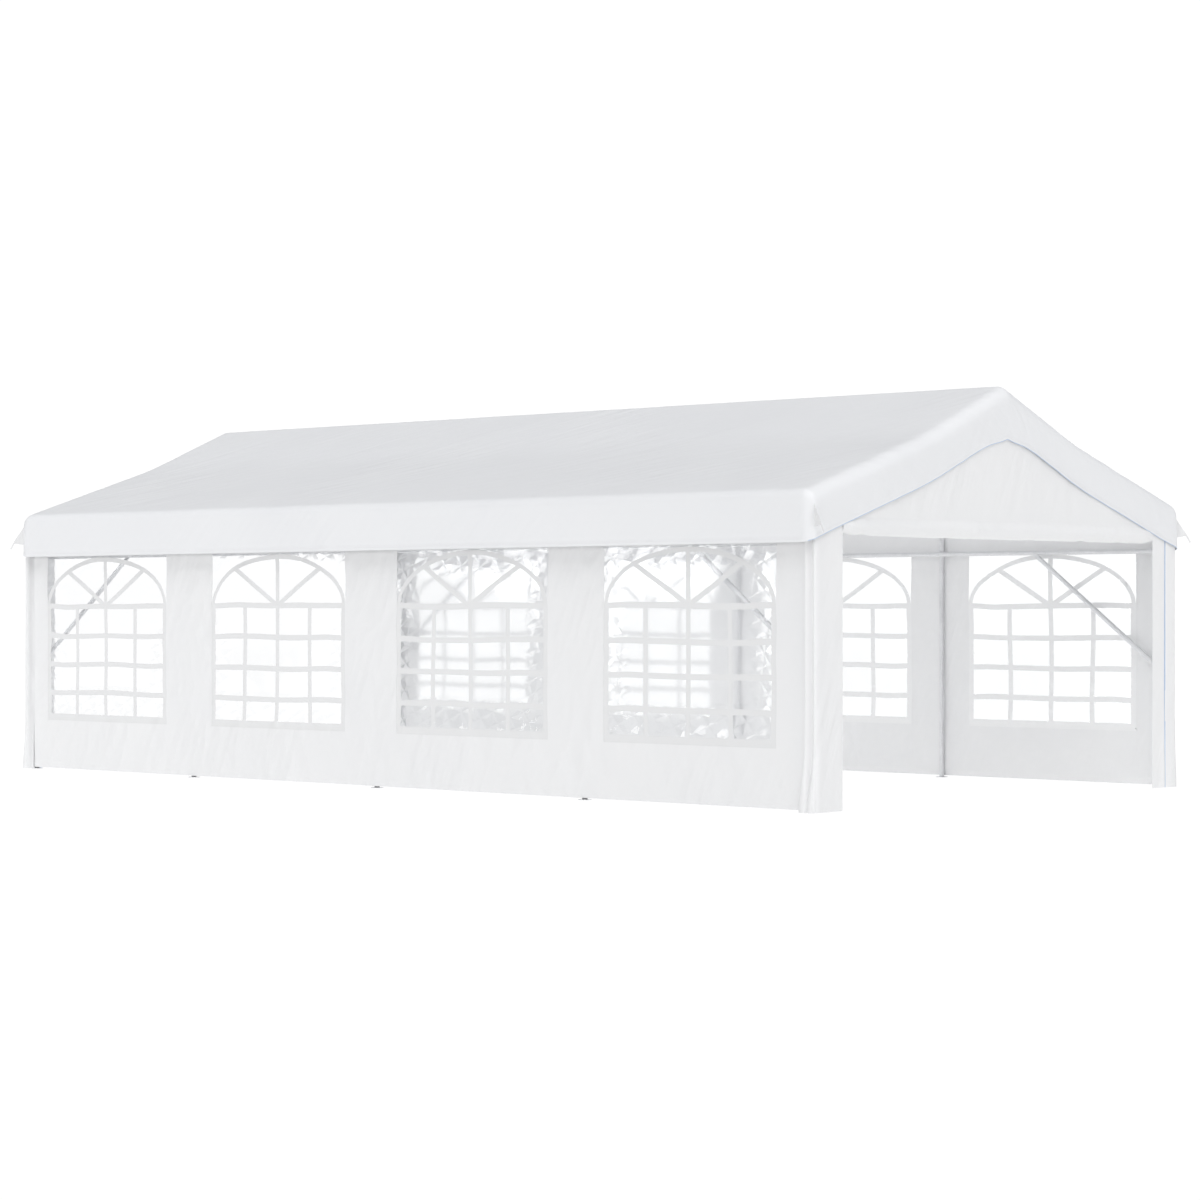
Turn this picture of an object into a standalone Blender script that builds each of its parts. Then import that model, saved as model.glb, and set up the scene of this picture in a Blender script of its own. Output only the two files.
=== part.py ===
# Marquee tent, 8 m long and 4 m wide: a steel tube frame under one roof cover, with window walls
# on the long sides and open gables whose doors are rolled up.
# Metres, +Z up. X runs across the tent, Y along it. The origin is on the ground at the middle of
# the footprint. Frames are numbered from the gable at -Y, which is the front.
import math

import bmesh
import bpy
from mathutils import Vector

# Overall sizes of the roof cover
HALF_WIDTH = 2.025
HALF_LENGTH = 4.0
RIDGE_TOP = 2.705
UPPER_SLOPE = 0.43
LOWER_SLOPE = 0.325
KNEE_X = 0.80
KNEE_BLEND = 0.16
KNEE_STEPS = 3
RIDGE_ROUND = 0.05
EDGE_ROUND = 0.06
VALANCE_DEPTH = 0.30
EDGE_STEPS = 4

# Fabric, film and the gap that touching pieces keep
FABRIC = 0.003
FILM = 0.001
GAP = 0.0003
ROOF_CLEARANCE = 0.0009

# Steel frame
SIDES = 16
TUBE_RADIUS = 0.016
SOCKET_RADIUS = 0.020
SOCKET_STEP = 0.0005
ARM_OVERLAP = 0.007
BORE_RADIUS = (TUBE_RADIUS + GAP) / math.cos(math.pi / SIDES)
BRACE_RADIUS = 0.0125
LEG_X = 1.918
END_FRAME_Y = 3.925
FRAME_Y = (-END_FRAME_Y, -2.0, 0.0, 2.0, END_FRAME_Y)
FOOT_RADIUS = 0.045
FOOT_THICKNESS = 0.003
LEG_SOCKET_BOTTOM = 1.67
SOCKET_REACH = 0.12
RAIL_SLEEVE_REACH = 0.09
SLEEVE_CAP = 0.015
BORE_PAST_CENTRE = 0.005
BORE_OVERREACH = 1.5
CORE = 0.026
SIDE_RAIL_Z = 1.644

# Corner braces: from the corner leg up to the side rail
BRACE_FOOT_Z = 0.77
BRACE_RUN = 1.17
TAB_THICKNESS = 0.003
TAB_HALF_WIDTH = 0.014
TAB_LENGTH = 0.040
TAB_NECK = 0.080
TAB_PAST_BOLT = 0.014

# Walls
HEM_Z = 0.014
WALL_TOP = 1.965
WALL_END_Y = 3.8675
WALL_MIDDLE_GAP = 0.001
WINDOW_HALF_WIDTH = 0.73
WINDOW_BOTTOM = 0.385
WINDOW_TOP = 1.65
WINDOW_Y = (1.0, 3.0)
FILM_MARGIN = 0.012

# Gable walls: triangle, side strips, and the sleeve of fabric round each corner leg
STRIP_INNER_X = 1.704
SLEEVE_RADIUS = 0.0585
SLEEVE_TOP = 1.93
SLEEVE_BOTTOM = 0.012
SLEEVE_STEPS = 9
TAIL_END_Y = 3.80
TRIANGLE_BOTTOM = 1.765
GABLE_TOP_GAP = 0.0025

# Rolled-up door
ROLL_HALF_LENGTH = 1.69
ROLL_HALF_DEPTH = 0.040
ROLL_BOTTOM = 1.641
ROLL_SIDES = 16
ROLL_END_TAPER = 0.05
ROLL_END_SIZE = 0.8

# Triangular tab at each roof corner
FLAP_TOP = 1.885
FLAP_BOTTOM = 1.745
FLAP_REACH = 0.075
FLAP_ROOT = 0.0015

# Edges that turn by more degrees than this are shaded sharp
SHARP_ANGLE = 35


def clear_scene():
    for item in list(bpy.data.objects):
        bpy.data.objects.remove(item, do_unlink=True)


def make_material(name, colour, roughness, metallic=0.0, alpha=1.0):
    material = bpy.data.materials.new(name)
    material.use_nodes = True
    shader = material.node_tree.nodes["Principled BSDF"]
    shader.inputs["Base Color"].default_value = (*colour, 1.0)
    shader.inputs["Roughness"].default_value = roughness
    shader.inputs["Metallic"].default_value = metallic
    shader.inputs["Alpha"].default_value = alpha
    return material


def add_object(name, mesh, material, location=(0, 0, 0), turn=0.0):
    item = bpy.data.objects.new(name, mesh)
    bpy.context.collection.objects.link(item)
    item.location = location
    item.rotation_euler = (0, 0, turn)
    if not mesh.materials:
        mesh.materials.append(material)
    return item


def shade(mesh):
    mesh.shade_smooth()
    mesh.set_sharp_from_angle(angle=math.radians(SHARP_ANGLE))
    return mesh


def finish_mesh(name, bm):
    bmesh.ops.recalc_face_normals(bm, faces=bm.faces)
    mesh = bpy.data.meshes.new(name)
    bm.to_mesh(mesh)
    bm.free()
    return shade(mesh)


def thicken(item, thickness, offset):
    solidify = item.modifiers.new("thickness", "SOLIDIFY")
    solidify.thickness = thickness
    solidify.offset = offset
    solidify.use_even_offset = True


def circle(sides):
    # Cosine and sine of each corner of a regular polygon.
    angles = [2 * math.pi * step / sides for step in range(sides)]
    return [(math.cos(angle), math.sin(angle)) for angle in angles]


def bridge(bm, rings, capped=True):
    # Joins neighbouring rings with faces, and closes both ends if capped.
    for low, high in zip(rings, rings[1:]):
        count = len(low)
        for step in range(count):
            following = (step + 1) % count
            bm.faces.new((low[step], low[following], high[following], high[step]))
    if capped:
        bm.faces.new(rings[0])
        bm.faces.new(rings[-1])


def ring_tube(bm, path, radius):
    # A closed tube along a path that lies in an upright plane, mitred at each bend.
    side = (path[-1] - path[0]).cross(Vector((0, 0, 1))).normalized()
    if side.length < 0.5:
        side = Vector((1, 0, 0))
    rings = []
    for index, point in enumerate(path):
        before = (point - path[max(index - 1, 0)]).normalized()
        after = (path[min(index + 1, len(path) - 1)] - point).normalized()
        along = (before + after).normalized()
        up = side.cross(along).normalized()
        bend = along.dot(after if after.length > 0.5 else before)
        rings.append([bm.verts.new(point + (side * cosine + up * (sine / bend)) * radius)
                      for cosine, sine in circle(SIDES)])
    bridge(bm, rings)


def tube_mesh(name, path, radius):
    bm = bmesh.new()
    ring_tube(bm, [Vector(point) for point in path], radius)
    return finish_mesh(name, bm)


def box_mesh(name, low, high):
    bm = bmesh.new()
    bmesh.ops.create_cube(bm, size=1.0)
    for vert in bm.verts:
        for axis in range(3):
            vert.co[axis] = low[axis] if vert.co[axis] < 0 else high[axis]
    return finish_mesh(name, bm)


def fused_mesh(name, solids, cutters=()):
    # Joins the solids into one closed body and then cuts the cutters out of it.
    helpers = []
    for mesh in (*solids, *cutters):
        helper = bpy.data.objects.new("helper", mesh)
        bpy.context.collection.objects.link(helper)
        helper.hide_render = True
        helper.display_type = "WIRE"
        helpers.append(helper)
    base = helpers[0]
    for index, helper in enumerate(helpers[1:], start=1):
        boolean = base.modifiers.new("fuse", "BOOLEAN")
        boolean.operation = "UNION" if index < len(solids) else "DIFFERENCE"
        boolean.solver = "EXACT"
        boolean.object = helper
    evaluated = base.evaluated_get(bpy.context.evaluated_depsgraph_get())
    mesh = bpy.data.meshes.new_from_object(evaluated)
    mesh.name = name
    mesh.materials.clear()
    for helper in helpers:
        bpy.data.objects.remove(helper, do_unlink=True)
    return mesh


# Where the upper slopes would meet if the ridge weren't rounded, and where the rounding ends
APEX = RIDGE_TOP + RIDGE_ROUND * (math.hypot(1.0, UPPER_SLOPE) - 1.0)
ROUND_END = RIDGE_ROUND * math.sin(math.atan(UPPER_SLOPE))


def roof_top(x):
    # Height of the roof's outer face: a rounded ridge, a steep upper part, a soft knee and a
    # flatter lower part.
    x = abs(x)
    if x < ROUND_END:
        return RIDGE_TOP - RIDGE_ROUND + math.sqrt(RIDGE_ROUND ** 2 - x ** 2)
    upper = APEX - UPPER_SLOPE * x
    if x < KNEE_X - KNEE_BLEND:
        return upper
    if x < KNEE_X + KNEE_BLEND:
        run = x - (KNEE_X - KNEE_BLEND)
        return upper + (UPPER_SLOPE - LOWER_SLOPE) * run ** 2 / (4 * KNEE_BLEND)
    return APEX - UPPER_SLOPE * KNEE_X - LOWER_SLOPE * (x - KNEE_X)


# Centre lines of the roof tubes: sockets touch the underside of the cover
TUBE_DROP = FABRIC + ROOF_CLEARANCE + SOCKET_RADIUS
RIDGE_CENTRE_Z = RIDGE_TOP - TUBE_DROP
KNEE_TUBE_Z = APEX - UPPER_SLOPE * KNEE_X - TUBE_DROP * math.hypot(1.0, UPPER_SLOPE)
EAVE_CENTRE_Z = roof_top(LEG_X) - TUBE_DROP * math.hypot(1.0, LOWER_SLOPE)
WALL_INNER_X = LEG_X + SOCKET_RADIUS + GAP
GABLE_MIDDLE_Y = END_FRAME_Y + SOCKET_RADIUS + GAP + FABRIC / 2
SIDE_RAIL_X = LEG_X - TUBE_RADIUS - GAP - TUBE_RADIUS


def build_leg(name, side, y, steel):
    # Tube with a round foot plate, turned in one profile.
    top = EAVE_CENTRE_Z - CORE
    profile = ((FOOT_RADIUS, 0.0), (FOOT_RADIUS, FOOT_THICKNESS),
               (TUBE_RADIUS, FOOT_THICKNESS), (TUBE_RADIUS, top))
    bm = bmesh.new()
    bridge(bm, [[bm.verts.new((radius * cosine, radius * sine, height))
                 for cosine, sine in circle(SIDES)] for radius, height in profile])
    add_object(name, finish_mesh(name, bm), steel, location=(side * LEG_X, y, 0))


def eave_connector_mesh(name, inward, ends):
    # Centred on the joint. inward is -1 where the rafter leaves towards -X. ends lists the
    # directions along Y in which the rail passes; the other end of an end frame is closed.
    rafter = Vector((inward * (LEG_X - KNEE_X), 0, KNEE_TUBE_Z - EAVE_CENTRE_Z)).normalized()
    reach = [RAIL_SLEEVE_REACH if way in ends else SLEEVE_CAP for way in (-1, 1)]
    bore = [RAIL_SLEEVE_REACH * BORE_OVERREACH if way in ends else BORE_PAST_CENTRE
            for way in (-1, 1)]
    drop = EAVE_CENTRE_Z - LEG_SOCKET_BOTTOM
    # Each arm is a little thinner than the one it is welded to.
    solids = (tube_mesh("arm", ((0, -reach[0], 0), (0, reach[1], 0)), SOCKET_RADIUS),
              tube_mesh("arm", ((0, 0, ARM_OVERLAP), (0, 0, -drop)), SOCKET_RADIUS - SOCKET_STEP),
              tube_mesh("arm", (rafter * -ARM_OVERLAP, rafter * SOCKET_REACH),
                        SOCKET_RADIUS - 2 * SOCKET_STEP))
    below = -drop * BORE_OVERREACH
    beyond = SOCKET_REACH * BORE_OVERREACH
    cutters = (tube_mesh("bore", ((0, -bore[0], 0), (0, bore[1], 0)), BORE_RADIUS),
               tube_mesh("bore", ((0, 0, GAP - CORE), (0, 0, below)), BORE_RADIUS),
               tube_mesh("bore", (rafter * (CORE - GAP), rafter * beyond), BORE_RADIUS))
    return fused_mesh(name, solids, cutters)


def build_eave_connectors(steel):
    middle = eave_connector_mesh("eave_connector_middle", -1, (-1, 1))
    right_front = eave_connector_mesh("eave_connector_right_front", -1, (1,))
    left_front = eave_connector_mesh("eave_connector_left_front", 1, (1,))
    for number, y in enumerate(FRAME_Y, start=1):
        first = number == 1
        last = number == len(FRAME_Y)
        right_mesh = right_front if first else left_front if last else middle
        left_mesh = left_front if first else right_front if last else middle
        add_object(f"eave_connector_right_{number}", right_mesh, steel,
                   location=(LEG_X, y, EAVE_CENTRE_Z), turn=math.pi if last else 0.0)
        add_object(f"eave_connector_left_{number}", left_mesh, steel,
                   location=(-LEG_X, y, EAVE_CENTRE_Z), turn=0.0 if first else math.pi)


def rafter_pair_mesh(name, ends):
    # Two bent rafters that meet in the ridge connector, with the bore for the ridge rail.
    eave = Vector((LEG_X, 0, EAVE_CENTRE_Z))
    knee = Vector((KNEE_X, 0, KNEE_TUBE_Z))
    ridge = Vector((0, 0, RIDGE_CENTRE_Z))
    foot = eave + (knee - eave).normalized() * CORE
    socket_end = ridge + (knee - ridge).normalized() * SOCKET_REACH
    mirror = Vector((-1, 1, 1))
    reach = [RAIL_SLEEVE_REACH if way in ends else SLEEVE_CAP for way in (-1, 1)]
    bore = [RAIL_SLEEVE_REACH * BORE_OVERREACH if way in ends else BORE_PAST_CENTRE
            for way in (-1, 1)]
    solids = (tube_mesh("rafters", (foot * mirror, knee * mirror, ridge, knee, foot), TUBE_RADIUS),
              tube_mesh("sockets", (socket_end * mirror, ridge, socket_end),
                        SOCKET_RADIUS - 3 * SOCKET_STEP),
              tube_mesh("sleeve", (ridge - Vector((0, reach[0], 0)),
                                   ridge + Vector((0, reach[1], 0))), SOCKET_RADIUS))
    cutters = (tube_mesh("bore", (ridge - Vector((0, bore[0], 0)),
                                  ridge + Vector((0, bore[1], 0))), BORE_RADIUS),)
    return fused_mesh(name, solids, cutters)


def build_rafter_pairs(steel):
    middle = rafter_pair_mesh("rafter_pair_middle", (-1, 1))
    end = rafter_pair_mesh("rafter_pair_end", (1,))
    for number, y in enumerate(FRAME_Y, start=1):
        last = number == len(FRAME_Y)
        mesh = end if number == 1 or last else middle
        add_object(f"rafter_pair_{number}", mesh, steel, location=(0, y, 0),
                   turn=math.pi if last else 0.0)


def build_rails(steel):
    # The ridge rail and eave rails run through the connectors; the side rails are bolted to the
    # inner faces of the legs.
    inner_end = END_FRAME_Y + BORE_PAST_CENTRE - GAP
    outer_end = END_FRAME_Y + TUBE_RADIUS
    runs = (("ridge_rail", 0.0, RIDGE_CENTRE_Z, inner_end),
            ("eave_rail_left", -LEG_X, EAVE_CENTRE_Z, inner_end),
            ("eave_rail_right", LEG_X, EAVE_CENTRE_Z, inner_end),
            ("side_rail_left", -SIDE_RAIL_X, SIDE_RAIL_Z, outer_end),
            ("side_rail_right", SIDE_RAIL_X, SIDE_RAIL_Z, outer_end))
    for name, x, z, half in runs:
        add_object(name, tube_mesh(name, ((x, -half, z), (x, half, z)), TUBE_RADIUS), steel)


def build_brace(name, side, end, steel):
    # A tube whose ends are flattened into tabs. The lower tab lies on the inner face of the
    # corner leg and the upper one on the outer face of the side rail.
    inner_face = LEG_X - TUBE_RADIUS
    lower_x = inner_face - GAP - TAB_THICKNESS / 2
    upper_x = SIDE_RAIL_X + TUBE_RADIUS + GAP + TAB_THICKNESS / 2
    foot = Vector((0, end * END_FRAME_Y, BRACE_FOOT_Z))
    head = Vector((0, end * (END_FRAME_Y - BRACE_RUN), SIDE_RAIL_Z))
    along = (head - foot).normalized()
    length = (head - foot).length
    across = Vector((1, 0, 0)).cross(along)
    middle_x = (lower_x + upper_x) / 2
    flat = (TAB_HALF_WIDTH, TAB_THICKNESS / 2)
    round_tube = (BRACE_RADIUS, BRACE_RADIUS)
    stations = ((-TAB_PAST_BOLT, lower_x, flat), (TAB_LENGTH, lower_x, flat),
                (TAB_NECK, middle_x, round_tube), (length - TAB_NECK, middle_x, round_tube),
                (length - TAB_LENGTH, upper_x, flat), (length + TAB_PAST_BOLT, upper_x, flat))
    bm = bmesh.new()
    rings = []
    for distance, x, (half_width, half_thickness) in stations:
        ring = []
        for cosine, sine in circle(SIDES):
            point = foot + along * distance + across * (half_width * cosine)
            point.x = side * (x + half_thickness * sine)
            ring.append(bm.verts.new(point))
        rings.append(ring)
    bridge(bm, rings)
    add_object(name, finish_mesh(name, bm), steel)


EDGE_Y = HALF_LENGTH - EDGE_ROUND


def corner_outline(inset):
    # Plan outline of the roof, moved in by inset, as X and Y of each point. The sides carry the
    # same X stations on both gables, so the rings match the strips of the roof's top.
    radius = EDGE_ROUND - inset
    stations = roof_stations()
    points = []
    for end in (1, -1):
        for x in stations if end > 0 else reversed(stations):
            points.append((x, end * (HALF_LENGTH - inset)))
        for step in range(1, EDGE_STEPS):
            angle = math.pi / 2 * step / EDGE_STEPS
            points.append((end * (HALF_WIDTH - EDGE_ROUND + radius * math.sin(angle)),
                           end * (HALF_LENGTH - EDGE_ROUND + radius * math.cos(angle))))
        for y in (end * EDGE_Y, -end * EDGE_Y):
            points.append((end * (HALF_WIDTH - inset), y))
        for step in range(1, EDGE_STEPS):
            angle = math.pi / 2 * step / EDGE_STEPS
            points.append((end * (HALF_WIDTH - EDGE_ROUND + radius * math.cos(angle)),
                           -end * (HALF_LENGTH - EDGE_ROUND + radius * math.sin(angle))))
    return points


def roof_stations():
    # X of the lines that run along the roof, from left to right.
    knee = [KNEE_X + KNEE_BLEND * (2 * step / KNEE_STEPS - 1) for step in range(KNEE_STEPS + 1)]
    right = [ROUND_END, *knee, HALF_WIDTH - EDGE_ROUND]
    return [-x for x in reversed(right)] + [0.0] + right


def roof_shell_mesh(name):
    # Rings from the valance's hem, round the edge and onto the top, then strips across the top.
    levels = [(0.0, VALANCE_DEPTH)]
    for step in range(EDGE_STEPS):
        angle = math.pi / 2 * step / EDGE_STEPS
        levels.append((EDGE_ROUND * (1 - math.cos(angle)), EDGE_ROUND * (1 - math.sin(angle))))
    bm = bmesh.new()
    rings = []
    for inset, drop in levels:
        ring = []
        for x, y in corner_outline(inset):
            ring.append(bm.verts.new((x, y, roof_top(x) - drop)))
        rings.append(ring)
    bridge(bm, rings, capped=False)
    # The innermost ring has no corner arcs: it is a plain rectangle.
    stations = roof_stations()
    top = {}
    for x in stations:
        for y in (-EDGE_Y, EDGE_Y):
            top[x, y] = bm.verts.new((x, y, roof_top(x)))
    for left, right in zip(stations, stations[1:]):
        bm.faces.new((top[left, -EDGE_Y], top[right, -EDGE_Y], top[right, EDGE_Y], top[left, EDGE_Y]))
    last = rings[-1]
    count = len(last)
    inner = []
    for x, y in corner_outline(0.0):
        near_x = min(stations, key=lambda station: abs(station - x))
        inner.append(top[near_x, EDGE_Y if y > 0 else -EDGE_Y])
    for step in range(count):
        following = (step + 1) % count
        corners = [last[step], last[following], inner[following], inner[step]]
        if inner[following] is inner[step]:
            corners.pop()
        bm.faces.new(corners)
    return finish_mesh(name, bm)


def flap_mesh(name, x_side, y_side):
    # Triangular tab that stands out of the valance along the corner's diagonal.
    centre = Vector((x_side * (HALF_WIDTH - EDGE_ROUND), y_side * (HALF_LENGTH - EDGE_ROUND), 0))
    outward = Vector((x_side, y_side, 0)).normalized()
    across = Vector((-outward.y, outward.x, 0)) * (FABRIC / 2)
    root = centre + outward * (EDGE_ROUND - FLAP_ROOT)
    tip = root + outward * FLAP_REACH
    bm = bmesh.new()
    triangles = []
    for sign in (-1, 1):
        corners = (root + Vector((0, 0, FLAP_TOP)), root + Vector((0, 0, FLAP_BOTTOM)),
                   tip + Vector((0, 0, FLAP_BOTTOM)))
        triangles.append([bm.verts.new(corner + across * sign) for corner in corners])
    bm.faces.new(triangles[0])
    bm.faces.new(triangles[1])
    for step in range(3):
        following = (step + 1) % 3
        bm.faces.new((triangles[0][step], triangles[0][following],
                      triangles[1][following], triangles[1][step]))
    return finish_mesh(name, bm)


def build_roof_cover(fabric):
    shell = add_object("roof_shell", roof_shell_mesh("roof_shell"), fabric)
    thicken(shell, FABRIC, -1.0)
    evaluated = shell.evaluated_get(bpy.context.evaluated_depsgraph_get())
    solid = bpy.data.meshes.new_from_object(evaluated)
    bpy.data.objects.remove(shell, do_unlink=True)
    flaps = [flap_mesh("flap", x_side, y_side) for x_side in (-1, 1) for y_side in (-1, 1)]
    add_object("roof_cover", shade(fused_mesh("roof_cover", [solid] + flaps)), fabric)


def upright_sheet(name, columns, spans, material):
    # A sheet that stands upright along a path in plan. columns holds the X and Y of each station,
    # and spans the heights between each pair of stations, as (low, low), (high, high) pairs that
    # give the left and right ends of each cell.
    bm = bmesh.new()
    made = {}

    def vert(column, height):
        key = (column, round(height, 6))
        if key not in made:
            x, y = columns[column]
            made[key] = bm.verts.new((x, y, height))
        return made[key]

    for column, cells in enumerate(spans):
        for (low_left, low_right), (high_left, high_right) in cells:
            bm.faces.new((vert(column, low_left), vert(column + 1, low_right),
                          vert(column + 1, high_right), vert(column, high_left)))
    item = add_object(name, finish_mesh(name, bm), material)
    thicken(item, FABRIC, 0.0)
    return item


def level(*heights):
    # Cells between level heights.
    pairs = [(height, height) for height in heights]
    return list(zip(pairs, pairs[1:]))


def build_long_walls(fabric):
    # Two panels a side, each with two windows cut through, hung outside the legs.
    x = WALL_INNER_X + FABRIC / 2
    full = level(HEM_Z, WINDOW_BOTTOM, WINDOW_TOP, WALL_TOP)
    holed = [full[0], full[2]]
    for side_name, side in (("left", -1), ("right", 1)):
        for end_name, end in (("front", -1), ("back", 1)):
            stations = [WALL_MIDDLE_GAP / 2]
            for centre in WINDOW_Y:
                stations += [centre - WINDOW_HALF_WIDTH, centre + WINDOW_HALF_WIDTH]
            stations.append(WALL_END_Y)
            columns = [(side * x, end * y) for y in stations]
            upright_sheet(f"wall_{side_name}_{end_name}", columns,
                          [full, holed, full, holed, full], fabric)


def build_window_films(film):
    # One sheet of clear film closes the two windows of each panel from inside.
    outer = WALL_INNER_X - GAP
    low_y = WINDOW_Y[0] - WINDOW_HALF_WIDTH - FILM_MARGIN
    high_y = WINDOW_Y[1] + WINDOW_HALF_WIDTH + FILM_MARGIN
    for side_name, side in (("left", -1), ("right", 1)):
        for end_name, end in (("front", -1), ("back", 1)):
            xs = sorted((side * (outer - FILM), side * outer))
            ys = sorted((end * low_y, end * high_y))
            mesh = box_mesh("film", (xs[0], ys[0], WINDOW_BOTTOM - FILM_MARGIN),
                            (xs[1], ys[1], WINDOW_TOP + FILM_MARGIN / 2))
            add_object(f"window_film_{side_name}_{end_name}", mesh, film)


def sleeve_path():
    # Plan of one corner, from the tail inside the long wall, round the leg, to the side strip.
    start = -math.acos((WALL_INNER_X - 2 * GAP - FABRIC / 2 - LEG_X) / SLEEVE_RADIUS)
    stop = math.pi - math.asin((GABLE_MIDDLE_Y - END_FRAME_Y) / SLEEVE_RADIUS)
    points = [(LEG_X + SLEEVE_RADIUS * math.cos(start), TAIL_END_Y)]
    for step in range(SLEEVE_STEPS + 1):
        angle = start + (stop - start) * step / SLEEVE_STEPS
        points.append((LEG_X + SLEEVE_RADIUS * math.cos(angle),
                       END_FRAME_Y + SLEEVE_RADIUS * math.sin(angle)))
    return points


def build_gable_wall(name, end, fabric):
    # Triangle under the roof, a strip down each side of the doorway, and the corner sleeves.
    corner = sleeve_path()
    middle = [x for x in roof_stations() if abs(x) < STRIP_INNER_X]
    right = [(STRIP_INNER_X, GABLE_MIDDLE_Y)]
    left = [(-STRIP_INNER_X, GABLE_MIDDLE_Y)]
    half = corner + right
    columns = half + [(x, GABLE_MIDDLE_Y) for x in reversed(middle)] + left
    columns += [(-x, y) for x, y in reversed(corner)]

    def top(column):
        return roof_top(columns[column][0]) - FABRIC - GABLE_TOP_GAP

    below, beside = level(SLEEVE_BOTTOM, TRIANGLE_BOTTOM, SLEEVE_TOP)
    spans = []
    for column in range(len(columns) - 1):
        inner = min(abs(columns[column][0]), abs(columns[column + 1][0]))
        outer = max(abs(columns[column][0]), abs(columns[column + 1][0]))
        above = ((SLEEVE_TOP, SLEEVE_TOP), (top(column), top(column + 1)))
        cells = [beside]
        if outer > STRIP_INNER_X:
            cells.append(below)
        if inner <= STRIP_INNER_X:
            cells.append(above)
        spans.append(cells)
    columns = [(x, end * y) for x, y in columns]
    upright_sheet(name, columns, spans, fabric)


def build_door_roll(name, end, fabric):
    # The door, rolled up to the lower edge of the triangle.
    top = TRIANGLE_BOTTOM - GAP
    centre_z = (top + ROLL_BOTTOM) / 2
    half_height = (top - ROLL_BOTTOM) / 2
    full_x = ROLL_HALF_LENGTH - ROLL_END_TAPER
    stations = ((-ROLL_HALF_LENGTH, ROLL_END_SIZE), (-full_x, 1.0), (full_x, 1.0),
                (ROLL_HALF_LENGTH, ROLL_END_SIZE))
    bm = bmesh.new()
    rings = []
    for x, size in stations:
        ring = []
        for cosine, sine in circle(ROLL_SIDES):
            y = end * GABLE_MIDDLE_Y + size * ROLL_HALF_DEPTH * cosine
            ring.append(bm.verts.new((x, y, centre_z + size * half_height * sine)))
        rings.append(ring)
    bridge(bm, rings)
    add_object(name, finish_mesh(name, bm), fabric)


def build_tent():
    clear_scene()
    steel = make_material("galvanised_steel", (0.62, 0.63, 0.65), 0.35, metallic=1.0)
    roof_fabric = make_material("roof_fabric", (0.80, 0.81, 0.83), 0.45)
    wall_fabric = make_material("wall_fabric", (0.84, 0.85, 0.86), 0.50)
    film = make_material("window_film", (0.92, 0.94, 0.96), 0.10, alpha=0.25)
    for number, y in enumerate(FRAME_Y, start=1):
        build_leg(f"leg_left_{number}", -1, y, steel)
        build_leg(f"leg_right_{number}", 1, y, steel)
    build_eave_connectors(steel)
    build_rafter_pairs(steel)
    build_rails(steel)
    for side_name, side in (("left", -1), ("right", 1)):
        for end_name, end in (("front", -1), ("back", 1)):
            build_brace(f"brace_{side_name}_{end_name}", side, end, steel)
    build_roof_cover(roof_fabric)
    build_long_walls(wall_fabric)
    build_window_films(film)
    for end_name, end in (("front", -1), ("back", 1)):
        build_gable_wall(f"gable_wall_{end_name}", end, wall_fabric)
        build_door_roll(f"door_roll_{end_name}", end, wall_fabric)


build_tent()
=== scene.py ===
# Looks of a white marquee, 8 m long and 4 m wide: coated sheeting over a galvanised tube frame.
import math

import bmesh
import bpy
import numpy as np
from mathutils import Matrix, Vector
from mathutils.geometry import delaunay_2d_cdt


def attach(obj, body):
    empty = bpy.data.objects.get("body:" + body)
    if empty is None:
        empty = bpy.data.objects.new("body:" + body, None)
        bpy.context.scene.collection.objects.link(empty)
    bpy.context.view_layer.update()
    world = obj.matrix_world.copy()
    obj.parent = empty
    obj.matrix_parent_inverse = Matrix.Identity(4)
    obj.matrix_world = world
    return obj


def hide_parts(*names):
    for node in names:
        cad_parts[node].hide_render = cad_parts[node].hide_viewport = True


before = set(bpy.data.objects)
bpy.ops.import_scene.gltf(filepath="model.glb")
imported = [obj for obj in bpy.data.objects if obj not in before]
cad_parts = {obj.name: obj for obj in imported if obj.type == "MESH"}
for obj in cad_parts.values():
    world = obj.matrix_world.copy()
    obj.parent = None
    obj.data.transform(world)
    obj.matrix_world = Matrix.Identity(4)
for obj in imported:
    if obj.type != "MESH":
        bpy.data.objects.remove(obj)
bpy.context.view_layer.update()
print("frame loaded with", len(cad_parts), "nodes")

tent = {
    "halfWidth": 2.025,
    "halfLength": 4.0,
    "ridgeTop": 2.705,
    "upperSlope": 0.43,
    "lowerSlope": 0.325,
    "kneeX": 0.80,
    "kneeBlend": 0.16,
    "ridgeRound": 0.05,
    "legX": 1.918,
    "endFrameY": 3.925,
    "frameYs": (-3.925, -2.0, 0.0, 2.0, 3.925),
}
# where the ridge's rounding meets the slope
ridgeEnd = tent["ridgeRound"] * math.sin(math.atan(tent["upperSlope"]))
sideNames = {-1: "Left", 1: "Right"}
endNames = {-1: "Front", 1: "Back"}
corners = [(side, end) for side in (-1, 1) for end in (-1, 1)]
# how far each kind of panel is moved over the cloth's pattern, so that no two look alike
clothShift = {"wall": 11, "gable": 21, "door": 31, "tab": 40}


# shared shapes and helpers

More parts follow.
